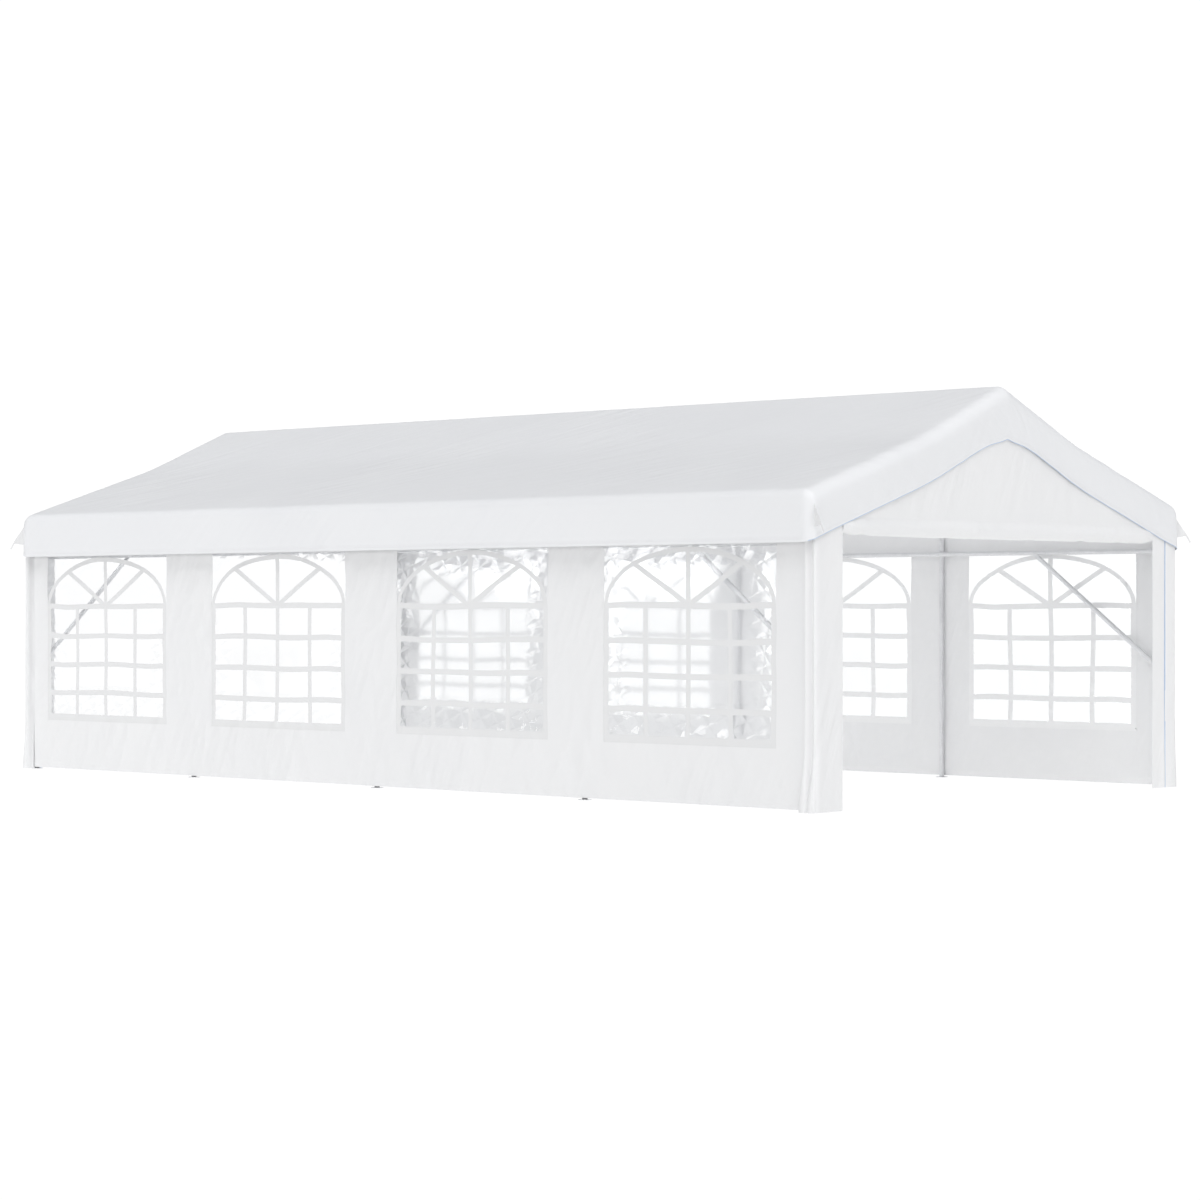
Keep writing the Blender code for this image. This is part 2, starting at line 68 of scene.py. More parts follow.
def roofTop(x):
    # height of the cover's outer face: rounded ridge, steep part, soft knee, flatter part
    x = np.abs(x)
    top, steep, flat, radius = tent["ridgeTop"], tent["upperSlope"], tent["lowerSlope"], tent["ridgeRound"]
    apex = top + radius * (math.hypot(1.0, steep) - 1.0)
    kneeStart, kneeEnd = tent["kneeX"] - tent["kneeBlend"], tent["kneeX"] + tent["kneeBlend"]
    ridge = top - radius + np.sqrt(np.maximum(radius ** 2 - x ** 2, 0.0))
    upper = apex - steep * x
    knee = upper + (steep - flat) / (4 * tent["kneeBlend"]) * (x - kneeStart) ** 2
    lower = apex - steep * tent["kneeX"] - flat * (x - tent["kneeX"])
    return np.select([x < ridgeEnd, x < kneeStart, x < kneeEnd], [ridge, upper, knee], lower)


def softNoise(x, y, seed):
    # smooth noise between about -1 and 1, the same on every run
    dice = np.random.default_rng(seed)
    order = dice.permutation(256)
    angle = dice.uniform(0, 2 * math.pi, 256)
    x, y = np.broadcast_arrays(np.asarray(x, float), np.asarray(y, float))
    cellX, cellY = np.floor(x).astype(int), np.floor(y).astype(int)
    partX, partY = x - cellX, y - cellY
    fadeX, fadeY = (part ** 3 * (part * (part * 6 - 15) + 10) for part in (partX, partY))

    def corner(stepX, stepY):
        pick = angle[order[(order[(cellX + stepX) & 255] + cellY + stepY) & 255]]
        return np.cos(pick) * (partX - stepX) + np.sin(pick) * (partY - stepY)

    low, high = (corner(0, row) * (1 - fadeX) + corner(1, row) * fadeX for row in (0, 1))
    return 1.5 * (low * (1 - fadeY) + high * fadeY)


def creases(u, v, seed, sets):
    # sharp ridges with soft valleys between them; each set has its height, its step from the
    # seed, its direction in degrees, and the length and width of its creases
    total = 0.0
    for height, step, angle, length, width in sets:
        turn = math.radians(angle)
        along = (u * math.cos(turn) + v * math.sin(turn)) / length
        across = v * math.cos(turn) - u * math.sin(turn)
        bent = across + 0.25 * width * softNoise(along * 2, across / width, seed + step + 7)
        total = total + height * (1 - 2 * np.abs(softNoise(along, bent / width, seed + step)))
    return total


def smoothStep(low, high, value):
    part = np.clip((value - low) / (high - low), 0, 1)
    return part * part * (3 - 2 * part)


def betweenFrames(y):
    # for each bay between two frames: its number, which points lie in it, and a wave over it
    for index, (start, stop) in enumerate(zip(tent["frameYs"], tent["frameYs"][1:])):
        inside = (y >= start) & (y <= stop)
        yield index, inside, np.sin(math.pi * (y[inside] - start) / (stop - start))


def travelAlong(path):
    # the distance walked to each point of a path
    return np.concatenate([[0.0], np.cumsum(np.hypot(*np.diff(path, axis=0).T))])


def rowsOf(*grids):
    # one row of values for each point of the grids
    return np.stack(np.broadcast_arrays(*grids), axis=-1).reshape(-1, len(grids))


def gridFaces(rows, columns, keep=None, flip=False):
    # quads between neighbouring rows and columns of points
    faces = []
    for row in range(rows - 1):
        for column in range(columns - 1):
            if keep is None or keep[row, column]:
                first = row * columns + column
                face = (first, first + 1, first + columns + 1, first + columns)
                faces.append(face[::-1] if flip else face)
    return faces


def dropLoose(points, faces, uvs):
    # leaves out points that no face uses
    used = sorted({index for face in faces for index in face})
    place = {old: new for new, old in enumerate(used)}
    return points[used], [[place[index] for index in face] for face in faces], uvs[used]


def meshOf(name, points, faces, material, uvs):
    mesh = bpy.data.meshes.new(name)
    mesh.from_pydata([tuple(point) for point in points], [], [tuple(face) for face in faces])
    layer = mesh.uv_layers.new(name="cloth")
    atCorner = np.empty(len(mesh.loops), dtype=np.int32)
    mesh.loops.foreach_get("vertex_index", atCorner)
    layer.data.foreach_set("uv", np.asarray(uvs, np.float32)[atCorner].ravel())
    mesh.materials.append(material)
    mesh.shade_smooth()
    return mesh


def addObject(name, data):
    made = bpy.data.objects.new(name, data)
    bpy.context.scene.collection.objects.link(made)
    return made


def addPiece(name, mesh, replaces=(), sharpAngle=None):
    piece = addObject(name, mesh)
    if sharpAngle is not None:
        mesh.shade_smooth()
        mesh.set_sharp_from_angle(angle=math.radians(sharpAngle))
    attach(piece, "root")
    if replaces:
        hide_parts(*replaces)
    return piece


def giveThickness(piece, thickness, offset):
    # the sheet's open edges are marked sharp, so its shading isn't drawn round the rim
    mesh = piece.data
    edgeOfLoop = np.empty(len(mesh.loops), np.int32)
    mesh.loops.foreach_get("edge_index", edgeOfLoop)
    mesh.edges.foreach_set("use_edge_sharp", np.bincount(edgeOfLoop, minlength=len(mesh.edges)) == 1)
    solid = piece.modifiers.new("thickness", "SOLIDIFY")
    solid.thickness = thickness
    solid.offset = offset
    solid.use_even_offset = False
    return solid


def panelName(side, end):
    return sideNames[side] + endNames[end]


def nodeName(prefix, side, end):
    return f"{prefix}_{sideNames[side]}_{endNames[end]}".lower()


# nodes and materials

def setInputs(tree, node, settings):
    # each setting is a socket to link from, an input's value or one of the node's own choices
    for key, value in settings.items():
        if isinstance(value, bpy.types.NodeSocket):
            tree.links.new(value, node.inputs[key])
        elif isinstance(key, int) or key in node.inputs:
            node.inputs[key].default_value = value
        else:
            setattr(node, key, value)


def addNode(tree, kind, **settings):
    node = tree.nodes.new(kind)
    setInputs(tree, node, settings)
    return node


def addMath(tree, operation, *values):
    node = addNode(tree, "ShaderNodeMath", operation=operation)
    setInputs(tree, node, dict(enumerate(values)))
    return node.outputs["Value"]


def addNoise(tree, vector, **settings):
    return addNode(tree, "ShaderNodeTexNoise", Vector=vector, **settings).outputs["Fac"]


def addRange(tree, value, **limits):
    return addNode(tree, "ShaderNodeMapRange", Value=value, **limits).outputs["Result"]


def addTurn(tree, vector, angle, **settings):
    return addNode(tree, "ShaderNodeMapping", vector_type="TEXTURE", Vector=vector,
                   Rotation=(0, 0, math.radians(angle)), **settings).outputs["Vector"]


def addBump(tree, height, distance, strength=1.0, under=None):
    bump = addNode(tree, "ShaderNodeBump", Height=height, Distance=distance, Strength=strength)
    if under is not None:
        tree.links.new(under, bump.inputs["Normal"])
    return bump.outputs["Normal"]


def addRamp(tree, value, stops):
    ramp = addNode(tree, "ShaderNodeValToRGB", Fac=value)
    for element, (place, colour) in zip(ramp.color_ramp.elements, stops):
        element.position = place
        element.color = (*colour, 1.0)
    return ramp.outputs["Color"]


def startMaterial(name):
    material = bpy.data.materials.new(name)
    material.use_nodes = True
    return material, material.node_tree, material.node_tree.nodes["Principled BSDF"]


sheeting = {
    "threadPitch": 0.0026,
    "threadRelief": 0.00006,
    "crinkleSize": 9.0,
    "wrinkleSize": (0.6, 0.085, 1.0),
    "cloudSize": 1.1,
    "patchSize": 0.8,
}


def sheetingMaterial(name, light, dark, roughness, wrinkleAngle, wrinkleRelief, crinkleRelief):
    # coated woven sheeting: a fine scrim under a smooth film, wrinkles, and faint clouding
    material, tree, shader = startMaterial(name)
    cloth = addNode(tree, "ShaderNodeUVMap", uv_map="cloth").outputs["UV"]
    clouds = addNoise(tree, cloth, Scale=sheeting["cloudSize"], Detail=3.0)
    # two sets of threads that cross
    threads = [addNode(tree, "ShaderNodeTexWave", Vector=cloth, bands_direction=direction,
                       Scale=math.pi / 10 / sheeting["threadPitch"]).outputs["Fac"] for direction in "XY"]
    relief = addBump(tree, addMath(tree, "MAXIMUM", *threads), sheeting["threadRelief"], 0.5)
    # fine wrinkles drawn out along one direction of the cloth, in patches
    turned = addTurn(tree, cloth, wrinkleAngle, Scale=sheeting["wrinkleSize"])
    wrinkles = addNoise(tree, turned, Scale=1.0, Detail=2.5, Roughness=0.45)
    patches = addNoise(tree, cloth, Scale=sheeting["patchSize"], Detail=1.0)
    patches = addRange(tree, patches, **{"From Min": 0.35, "From Max": 0.65})
    relief = addBump(tree, addMath(tree, "MULTIPLY", wrinkles, patches), wrinkleRelief, under=relief)
    # soft crinkles in every direction
    crinkles = addNoise(tree, cloth, Scale=sheeting["crinkleSize"], Detail=2.0)
    setInputs(tree, shader, {
        "Base Color": addRamp(tree, clouds, ((0.3, dark), (0.7, light))),
        "Roughness": addRange(tree, clouds, **{"To Min": roughness - 0.05, "To Max": roughness + 0.07}),
        "Normal": addBump(tree, crinkles, crinkleRelief, under=relief),
        "Specular IOR Level": 0.45,
    })
    return material


def steelMaterial():
    # galvanised tube: satin, with faint spangle and clouding
    material, tree, shader = startMaterial("galvanisedTube")
    place = addNode(tree, "ShaderNodeTexCoord").outputs["Object"]
    spangle = addNode(tree, "ShaderNodeTexVoronoi", Vector=place, Scale=90.0).outputs["Distance"]
    clouds = addNoise(tree, place, Scale=6.0, Detail=4.0)
    mottle = addMath(tree, "MULTIPLY_ADD", spangle, 0.25, clouds)
    setInputs(tree, shader, {
        "Base Color": addRamp(tree, mottle, ((0.35, (0.68, 0.685, 0.70)), (0.75, (0.80, 0.805, 0.82)))),
        "Roughness": addRange(tree, clouds, **{"To Min": 0.42, "To Max": 0.56}),
        "Normal": addBump(tree, spangle, 0.0003, 0.25),
        "Metallic": 0.45,
    })
    return material


def plasticMaterial(name, low, high, roughness):
    # smooth plastic with a fine grain
    material, tree, shader = startMaterial(name)
    place = addNode(tree, "ShaderNodeTexCoord").outputs["Object"]
    grain = addNoise(tree, place, Scale=220.0, Detail=2.0)
    setInputs(tree, shader, {
        "Base Color": addRamp(tree, grain, ((0.3, low), (0.7, high))),
        "Normal": addBump(tree, grain, 0.0002, 0.3),
        "Roughness": roughness,
    })
    return material


vinyl = {
    # direction in degrees and spacing of each set of straight folds
    "folds": ((68, 0.085), (-38, 0.125), (12, 0.17)),
    "foldBend": {"Distortion": 5.0, "Detail": 1.0, "Detail Scale": 0.35},
    "look": {"Base Color": (0.99, 0.995, 1.0, 1.0), "Transmission Weight": 1.0, "Roughness": 0.072,
             "IOR": 1.2, "Coat Weight": 1.0, "Coat IOR": 1.48, "Coat Roughness": 0.08},
}


def filmMaterial(name, waveRelief, foldRelief, glintRelief):
    # clear soft vinyl that bends what is seen through it
    material, tree, shader = startMaterial(name)
    cloth = addNode(tree, "ShaderNodeUVMap", uv_map="cloth").outputs["UV"]
    waves = addNoise(tree, cloth, Scale=5.0, Detail=1.5, Roughness=0.4, Distortion=0.4)
    # straight folds in three directions cross into facets, only in the slack parts near the edges
    folded = None
    for angle, spacing in vinyl["folds"]:
        fold = addNode(tree, "ShaderNodeTexWave", Vector=addTurn(tree, cloth, angle), wave_profile="TRI",
                       Scale=math.pi / 10 / spacing, **vinyl["foldBend"]).outputs["Fac"]
        folded = fold if folded is None else addMath(tree, "MAXIMUM", folded, fold)
    slack = addNode(tree, "ShaderNodeAttribute", attribute_name="slack").outputs["Fac"]
    raised = addMath(tree, "MULTIPLY", folded, slack)
    setInputs(tree, shader, vinyl["look"])
    # the surface gloss catches the light on every fold
    setInputs(tree, shader, {
        "Normal": addBump(tree, raised, foldRelief, under=addBump(tree, waves, waveRelief)),
        "Coat Normal": addBump(tree, raised, glintRelief),
    })
    return material


roofSheeting = sheetingMaterial("roofSheeting", (0.83, 0.837, 0.85), (0.815, 0.822, 0.838), 0.42, -45,
                                0.0100, 0.0024)
wallSheeting = sheetingMaterial("wallSheeting", (0.845, 0.847, 0.852), (0.828, 0.832, 0.84), 0.45, 112,
                                0.0190, 0.0046)
steel = steelMaterial()
# painted shade: a dark finish for some foot caps, standing in for the shade under the wall's hem
footCapPaintedShade = plasticMaterial("footCapPaintedShade", (0.20, 0.20, 0.205), (0.27, 0.27, 0.275), 0.6)
outerFilm = filmMaterial("clearVinyl", 0.0006, 0.0013, 0.0034)
innerFilm = filmMaterial("clearVinylInside", 0.0004, 0.0005, 0.0018)
barPrint = plasticMaterial("barPrint", (0.765, 0.768, 0.772), (0.795, 0.798, 0.802), 0.4)
# painted light: a lighter copy of the bar print for the bars' inner face, standing in for daylight shining
# through the film
barPrintPaintedLight = plasticMaterial("barPrintPaintedLight", (0.85, 0.853, 0.857), (0.88, 0.883, 0.887), 0.4)
# painted shade: a blue-grey colour that stands in for the shadow in the gable slits and under the gables'
# hem
paintedSeamShade = plasticMaterial("seamPaintedShade", (0.50, 0.60, 0.76), (0.56, 0.65, 0.80), 0.5)
thread = plasticMaterial("seamThread", (0.80, 0.80, 0.81), (0.86, 0.86, 0.87), 0.6)
print("materials made")


# roof cover

roofCover = {
    "stepAcross": 0.024,
    "stepAlong": 0.055,
    "eaveRound": 0.05,
    "rakeRound": 0.095,
    "edgeSteps": 7,
    "valanceRows": 11,
    "sideDepth": 0.315,
    "gableDepth": 0.308,
    "peakDepth": 0.045,
    "peakReach": 0.16,
    "hemHeight": 0.024,
    "hemStep": 0.0015,
    "paintedShadeBand": 0.005,
    "sag": 0.007,
    "hemWave": 0.005,
    "thickness": 0.0012,
    # drag lines that slant down each slope, and how far from the ridge each set comes in
    "dragLines": (((0.0018, 0, 48, 1.3, 0.13), (0.1, 0.8)), ((0.0010, 5, 52, 0.8, 0.08), (0.6, 1.6))),
    "valanceCreases": ((0.0016, 0, 62, 0.26, 0.11), (0.0013, 1, -38, 0.22, 0.13)),
    # depth and place of the dips where the valance bears on the walls
    "gableDip": 0.009,
    "eaveDip": 0.005,
    "eaveDipY": 3.83,
}

cornerTabs = {
    # heights of the upper and lower edge at the root, and how far each stands from the tip
    "rootZ": (1.895, 1.744),
    "tipZ": 1.764,
    "tipRise": (0.007, -0.005),
    "reach": 0.084,
    "lean": 0.006,
    "inset": 0.004,
    "strapReach": 0.110,
    "strapZ": 1.712,
    "strapWidth": 0.015,
    # each tab's corner of the roof, and which way it points
    "places": ((-1, -1, 0.34, 0.94), (1, -1, 0.71, 0.71), (-1, 1, 0.71, 0.71), (1, 1, 0.71, 0.71)),
}


def valanceDepth(x, wayY):
    # how far the hem hangs below the roof line, deeper under the ridge
    gable = roofCover["gableDepth"] + roofCover["peakDepth"] * np.exp(-(x / roofCover["peakReach"]) ** 2)
    return roofCover["sideDepth"] + (gable - roofCover["sideDepth"]) * wayY ** 2


def roofEdge(xs, ys, innerX, innerY):
    # the edge of the roof's grid in order, with the way out from each point
    columns, rows, steps = len(xs), len(ys), roofCover["edgeSteps"]
    turns = [math.pi / 2 * step / steps for step in range(1, steps)]
    edge = []
    for end in (1, -1):
        row, column = (rows - 1, columns - 1) if end > 0 else (0, 0)
        edge.extend((row * columns + index, (xs[index], ys[row]), (0.0, float(end)))
                    for index in range(columns)[::end])
        edge.extend((row * columns + column, (end * innerX, end * innerY),
                     (end * math.sin(t), end * math.cos(t))) for t in turns)
        edge.extend((index * columns + column, (xs[column], ys[index]), (float(end), 0.0))
                    for index in range(rows)[::-end])
        edge.extend(((rows - 1 - row) * columns + column, (end * innerX, -end * innerY),
                     (end * math.cos(t), -end * math.sin(t))) for t in turns)
    return edge


def cornerTab(sideX, sideY, wayX, wayY):
    # points, faces and pattern places of a small triangle sewn to the corner, with a strap at its tip
    rootX = tent["halfWidth"] - roofCover["eaveRound"] * (1 - wayX) - cornerTabs["inset"]
    rootY = tent["halfLength"] - roofCover["rakeRound"] * (1 - wayY) - cornerTabs["inset"]
    reach, tipZ = cornerTabs["reach"], cornerTabs["tipZ"]
    points, uvs = [], []

    def place(out, z, lean):
        points.append((sideX * (rootX + wayX * out - wayY * lean),
                       sideY * (rootY + wayY * out + wayX * lean), z))
        uvs.append((out + clothShift["tab"], z))

    steps, across = 7, 5
    for part in np.linspace(0, 1, steps):
        top, low = (start + (tipZ + rise - start) * part
                    for start, rise in zip(cornerTabs["rootZ"], cornerTabs["tipRise"]))
        for share in np.linspace(0, 1, across):
            place(reach * part, top + (low - top) * share,
                  cornerTabs["lean"] * math.sin(math.pi * part) * (share - 0.3))
    faces = gridFaces(steps, across)
    first = len(points)
    for part in np.linspace(0, 1, across):
        out = reach * 0.9 + (cornerTabs["strapReach"] - reach * 0.9) * part
        z = tipZ + 0.008 + (cornerTabs["strapZ"] - tipZ - 0.008) * part
        for offset in (-0.5, 0.5):
            place(out + offset * 0.006, z + offset * cornerTabs["strapWidth"], 0.0014 + 0.004 * part * part)
    faces.extend(tuple(first + index for index in face) for face in gridFaces(across, 2))
    return points, faces, uvs


def roofShift(points, uvs, normals, deeps):
    # how far each point of the cover moves along its normal
    u, v = uvs.T
    fromRidge, onTop = np.abs(u), normals[:, 2]
    # slack between the frames, with drag lines that slant across each side
    bay = np.zeros_like(v)
    for _, inside, wave in betweenFrames(v):
        bay[inside] = wave ** 2
    slack = bay * np.sin(np.clip(fromRidge / 2.1, 0, 1) * math.pi) ** 2
    lift = 0.0012 * softNoise(u * 3, v * 2, 12) - roofCover["sag"] * slack
    for shape, (start, full) in roofCover["dragLines"]:
        lift += creases(fromRidge, v, 11, [shape]) * smoothStep(start, full, fromRidge)
    lift = np.maximum(lift, -0.0015 - 0.02 * slack)
    # the valance hangs in slow waves, slanting creases and a doubled hem
    deep = np.clip(deeps, 0, 1)
    hang = 0.003 * deep + roofCover["hemWave"] * deep ** 1.3 * softNoise(u * 1.5 + 5, v * 1.5, 13)
    hang += creases(u, v, 14, roofCover["valanceCreases"]) * smoothStep(0, 0.3, deep)
    hang += 0.0007 * (deeps > 1)
    onSide, onGable = normals[:, 0] ** 2, normals[:, 1] ** 2
    hang -= roofCover["gableDip"] * deep * onGable * smoothStep(1.95, 1.80, np.abs(points[:, 0]))
    eaveDip = np.exp(-((np.abs(v) - roofCover["eaveDipY"]) / 0.05) ** 2) * smoothStep(-0.05, 0.25, deep)
    hang -= roofCover["eaveDip"] * onSide * eaveDip
    return lift * onTop + hang * (1 - onTop)


def addTabs(mesh):
    # turns the cover's faces outward and adds the corner tabs
    build = bmesh.new()
    build.from_mesh(mesh)
    bmesh.ops.recalc_face_normals(build, faces=build.faces)
    layer = build.loops.layers.uv["cloth"]
    for tab in cornerTabs["places"]:
        points, faces, uvs = cornerTab(*tab)
        made = [build.verts.new(point) for point in points]
        for face in faces:
            shape = build.faces.new([made[index] for index in face])
            shape.smooth = True
            shape.material_index = 1
            for loop, index in zip(shape.loops, face):
                loop[layer].uv = uvs[index]
    build.to_mesh(mesh)
    build.free()


def buildRoofCover():
    innerX, innerY = tent["halfWidth"] - roofCover["eaveRound"], tent["halfLength"] - roofCover["rakeRound"]
    flatCount = round((innerX - ridgeEnd) / roofCover["stepAcross"])
    right = np.concatenate([np.linspace(0, ridgeEnd, 4)[1:],
                            np.linspace(ridgeEnd, innerX, flatCount + 1)[1:]])
    xs = np.concatenate([-right[::-1], [0.0], right])
    ys = np.linspace(-innerY, innerY, round(2 * innerY / roofCover["stepAlong"]) + 1)
    spread = travelAlong(np.column_stack([xs, roofTop(xs)]))
    spread -= spread[len(right)]
    gridX, gridY = np.meshgrid(xs, ys)
    total = gridX.size
    points, uvs = [rowsOf(gridX, gridY, roofTop(gridX))], [rowsOf(np.interp(gridX, xs, spread), gridY)]
    normals, deeps = [np.tile((0.0, 0.0, 1.0), (total, 1))], [np.zeros(total)]
    faces = gridFaces(len(ys), len(xs))

    # rings from the grid's edge, over the rounding and down to the hem
    previous, base, way = zip(*roofEdge(xs, ys, innerX, innerY))
    base, way, count = np.array(base), np.array(way), len(base)
    rounds = np.array([roofCover["eaveRound"], roofCover["rakeRound"]])
    edgeRound = np.hypot(*(way * rounds).T)
    depth = valanceDepth(base[:, 0], way[:, 1])
    hemTop = depth - roofCover["hemHeight"]
    levels = [(turn, edgeRound * (1 - math.sin(turn)), 0.0)
              for turn in np.linspace(math.pi / 2, 0, roofCover["edgeSteps"] + 1)[1:]]
    levels += [(0.0, edgeRound + (hemTop - edgeRound) * share, share)
               for share in np.linspace(0, 1, roofCover["valanceRows"])[1:]]
    seamStart = total + count * (len(levels) - 1)
    levels += [(0.0, drop, 2.0)
               for drop in (hemTop + roofCover["hemStep"], depth - roofCover["paintedShadeBand"], depth)]
    for turn, drop, deep in levels:
        ring = base + way * rounds * math.cos(turn)
        travel = edgeRound * (math.pi / 2 - turn) + np.maximum(drop - edgeRound, 0)
        points.append(np.column_stack([ring, roofTop(ring[:, 0]) - drop]))
        uvs.append(np.column_stack([np.interp(base[:, 0], xs, spread), base[:, 1]]) + way * travel[:, None])
        normals.append(np.column_stack([way * math.cos(turn), np.full(count, math.sin(turn))]))
        deeps.append(np.full(count, deep))
        current = range(total, total + count)
        total += count
        for step in range(count):
            after = (step + 1) % count
            face = [previous[step], previous[after], current[after], current[step]]
            faces.append(face[1:] if face[0] == face[1] else face)
        previous = current
    points, uvs, normals, deeps = (np.concatenate(parts) for parts in (points, uvs, normals, deeps))
    points = points + normals * roofShift(points, uvs, normals, deeps)[:, None]
    seam = slice(seamStart, seamStart + count)

    mesh = meshOf("roofCover", points, faces, roofSheeting, uvs)
    mesh.materials.append(barPrint)
    mesh.materials.append(paintedSeamShade)
    # painted shade: the lowest edge of both gables takes a blue-grey colour that stands in for the shadow
    # under the hem
    for step in range(count):
        if min(abs(way[step][1]), abs(way[(step + 1) % count][1])) > 0.5:
            mesh.polygons[len(faces) - count + step].material_index = 2
    addTabs(mesh)
    piece = addPiece("roofSheet", mesh, ["roof_cover"])
    giveThickness(piece, roofCover["thickness"], -1.0)
    return points[seam] + 0.0008 * normals[seam]


hemSeam = buildRoofCover()
print("roof cover made")


# long walls with their windows

longWall = {
    "middleX": 1.9398,
    "step": 0.021,
    "hem": 0.014,
    "hemHeight": 0.024,
    "hemStep": 0.0015,
    "top": 1.965,
    "endY": 3.905,
    "tuckedEndY": 3.885,
    "endWave": 0.028,
    "thickness": 0.0012,
    "windowHalf": 0.73,
    "windowBottom": 0.385,
    "windowTop": 1.65,
    # where each panel's two windows stand, measured from the middle of the wall
    "windowCentres": {(-1, -1): (0.962, 2.925), (-1, 1): (1.034, 3.022),
                      (1, -1): (0.967, 2.962), (1, 1): (1.0, 3.0)},
    "creases": ((0.0048, 2, 62, 0.85, 0.24), (0.0050, 3, -58, 0.75, 0.22), (0.0026, 4, 84, 0.5, 0.09),
                (0.0018, 5, -20, 0.30, 0.08)),
}


def wallSlack(y, z, seed):
    # the slow part of how far a long wall stands out of its plane: slack between the legs
    rise = z / longWall["top"]
    slack = np.zeros_like(y)
    for index, inside, wave in betweenFrames(y):
        slack[inside] = (0.008 + 0.003 * math.sin(2.1 * index + seed)) * wave ** 1.5
    out = slack * np.sin(math.pi * np.clip(rise * 0.9 + 0.08, 0, 1)) ** 0.7
    return out + 0.008 * softNoise(y * 1.3, z * 0.8, seed + 1) * (1 - rise * 0.6)


def wallBulge(y, z, seed):
    # the slack with the drag folds and crumples, held off the frame behind it
    out = wallSlack(y, z, seed) + creases(y, z, seed, longWall["creases"]) - 0.004
    out = np.where(out < 0, out * 0.3, out)
    return np.maximum(out, -0.03 * smoothStep(3.86, 3.5, np.abs(y)))


def windowSpans(side, end):
    half, centres = longWall["windowHalf"], longWall["windowCentres"][side, end]
    return sorted((end * centre - half, end * centre + half) for centre in centres)


def stationsBetween(marks, step):
    # evenly spaced stations that keep every mark
    stations = [marks[0]]
    for start, stop in zip(marks, marks[1:]):
        stations.extend(np.linspace(start, stop, max(1, round((stop - start) / step)) + 1)[1:])
    return np.array(stations)


def buildLongWall(side, end, seed):
    spans = windowSpans(side, end)
    tucked = side * end > 0
    outer = end * longWall["tuckedEndY" if tucked else "endY"]
    hemTop = longWall["hem"] + longWall["hemHeight"]
    windowLow, windowHigh = longWall["windowBottom"], longWall["windowTop"]
    ys = stationsBetween([min(0.0, outer), *np.ravel(spans), max(0.0, outer)], longWall["step"])
    zs = stationsBetween([longWall["hem"], hemTop, hemTop + longWall["hemStep"], windowLow, windowHigh,
                          longWall["top"]], longWall["step"])
    gridY, gridZ = np.meshgrid(ys, zs)
    middleY, middleZ = (ys[:-1] + ys[1:]) / 2, (zs[:-1] + zs[1:]) / 2
    inWindowY = np.any([(middleY > low) & (middleY < high) for low, high in spans], axis=0)
    keep = ~(((middleZ > windowLow) & (middleZ < windowHigh))[:, None] & inWindowY)
    # the free end is a wavy edge in front of the corner sleeve
    lastWindow = np.abs(spans).max()
    freeShare = np.clip((np.abs(gridY) - lastWindow) / (abs(outer) - lastWindow), 0, 1)
    wave = 0.0 if tucked else longWall["endWave"]
    gridY = gridY + end * freeShare * wave * softNoise(gridZ * 1.9 + 3.3, 0.5, seed + 9)
    out = wallBulge(gridY, gridZ, seed) + 0.0005 * (gridZ < hemTop + longWall["hemStep"] / 2)
    if not tucked:
        out += 0.003 * smoothStep(0.6, 1.0, freeShare) * (1 + softNoise(gridZ * 2.7, 2.5, seed + 8))
    points = rowsOf(side * (longWall["middleX"] + out), gridY, gridZ)
    uvs = rowsOf(gridY + clothShift["wall"] * side, gridZ)
    points, faces, uvs = dropLoose(points, gridFaces(len(zs), len(ys), keep, flip=side < 0), uvs)
    mesh = meshOf(f"wall{panelName(side, end)}", points, faces, wallSheeting, uvs)
    piece = addPiece(f"wallSheet{panelName(side, end)}", mesh, [nodeName("wall", side, end)])
    giveThickness(piece, longWall["thickness"], 0.0)


windowBars = {
    "barWidth": 0.039,
    "ringWidth": 0.033,
    "diagonalWidth": 0.036,
    "frameWidth": 0.042,
    "sillWidth": 0.052,
    "crossHeights": (0.60, 0.82, 1.043),
    "springHeight": 1.27,
    "archHeight": 1.640,
    "uprights": (-0.36, 0.0, 0.36),
    "diagonalTilt": 30.0,
}

windowFilm = {
    "margin": 0.010,
    "drop": 0.0009,
    "step": 0.028,
    "thickness": 0.0005,
    # how far the printed bars stray from straight lines
    "waver": 0.014,
    "creases": ((0.0016, 20, 70, 0.9, 0.3),),
}


def boxOutline(y0, z0, y1, z1):
    # a rectangle with points as close as the wall's own, counter-clockwise
    across = max(1, round(abs(y1 - y0) / longWall["step"])) + 1
    up = max(1, round(abs(z1 - z0) / longWall["step"])) + 1
    return ([(y, z0) for y in np.linspace(y0, y1, across)[:-1]]
            + [(y1, z) for z in np.linspace(z0, z1, up)[:-1]]
            + [(y, z1) for y in np.linspace(y1, y0, across)[:-1]]
            + [(y0, z) for z in np.linspace(z1, z0, up)[:-1]])


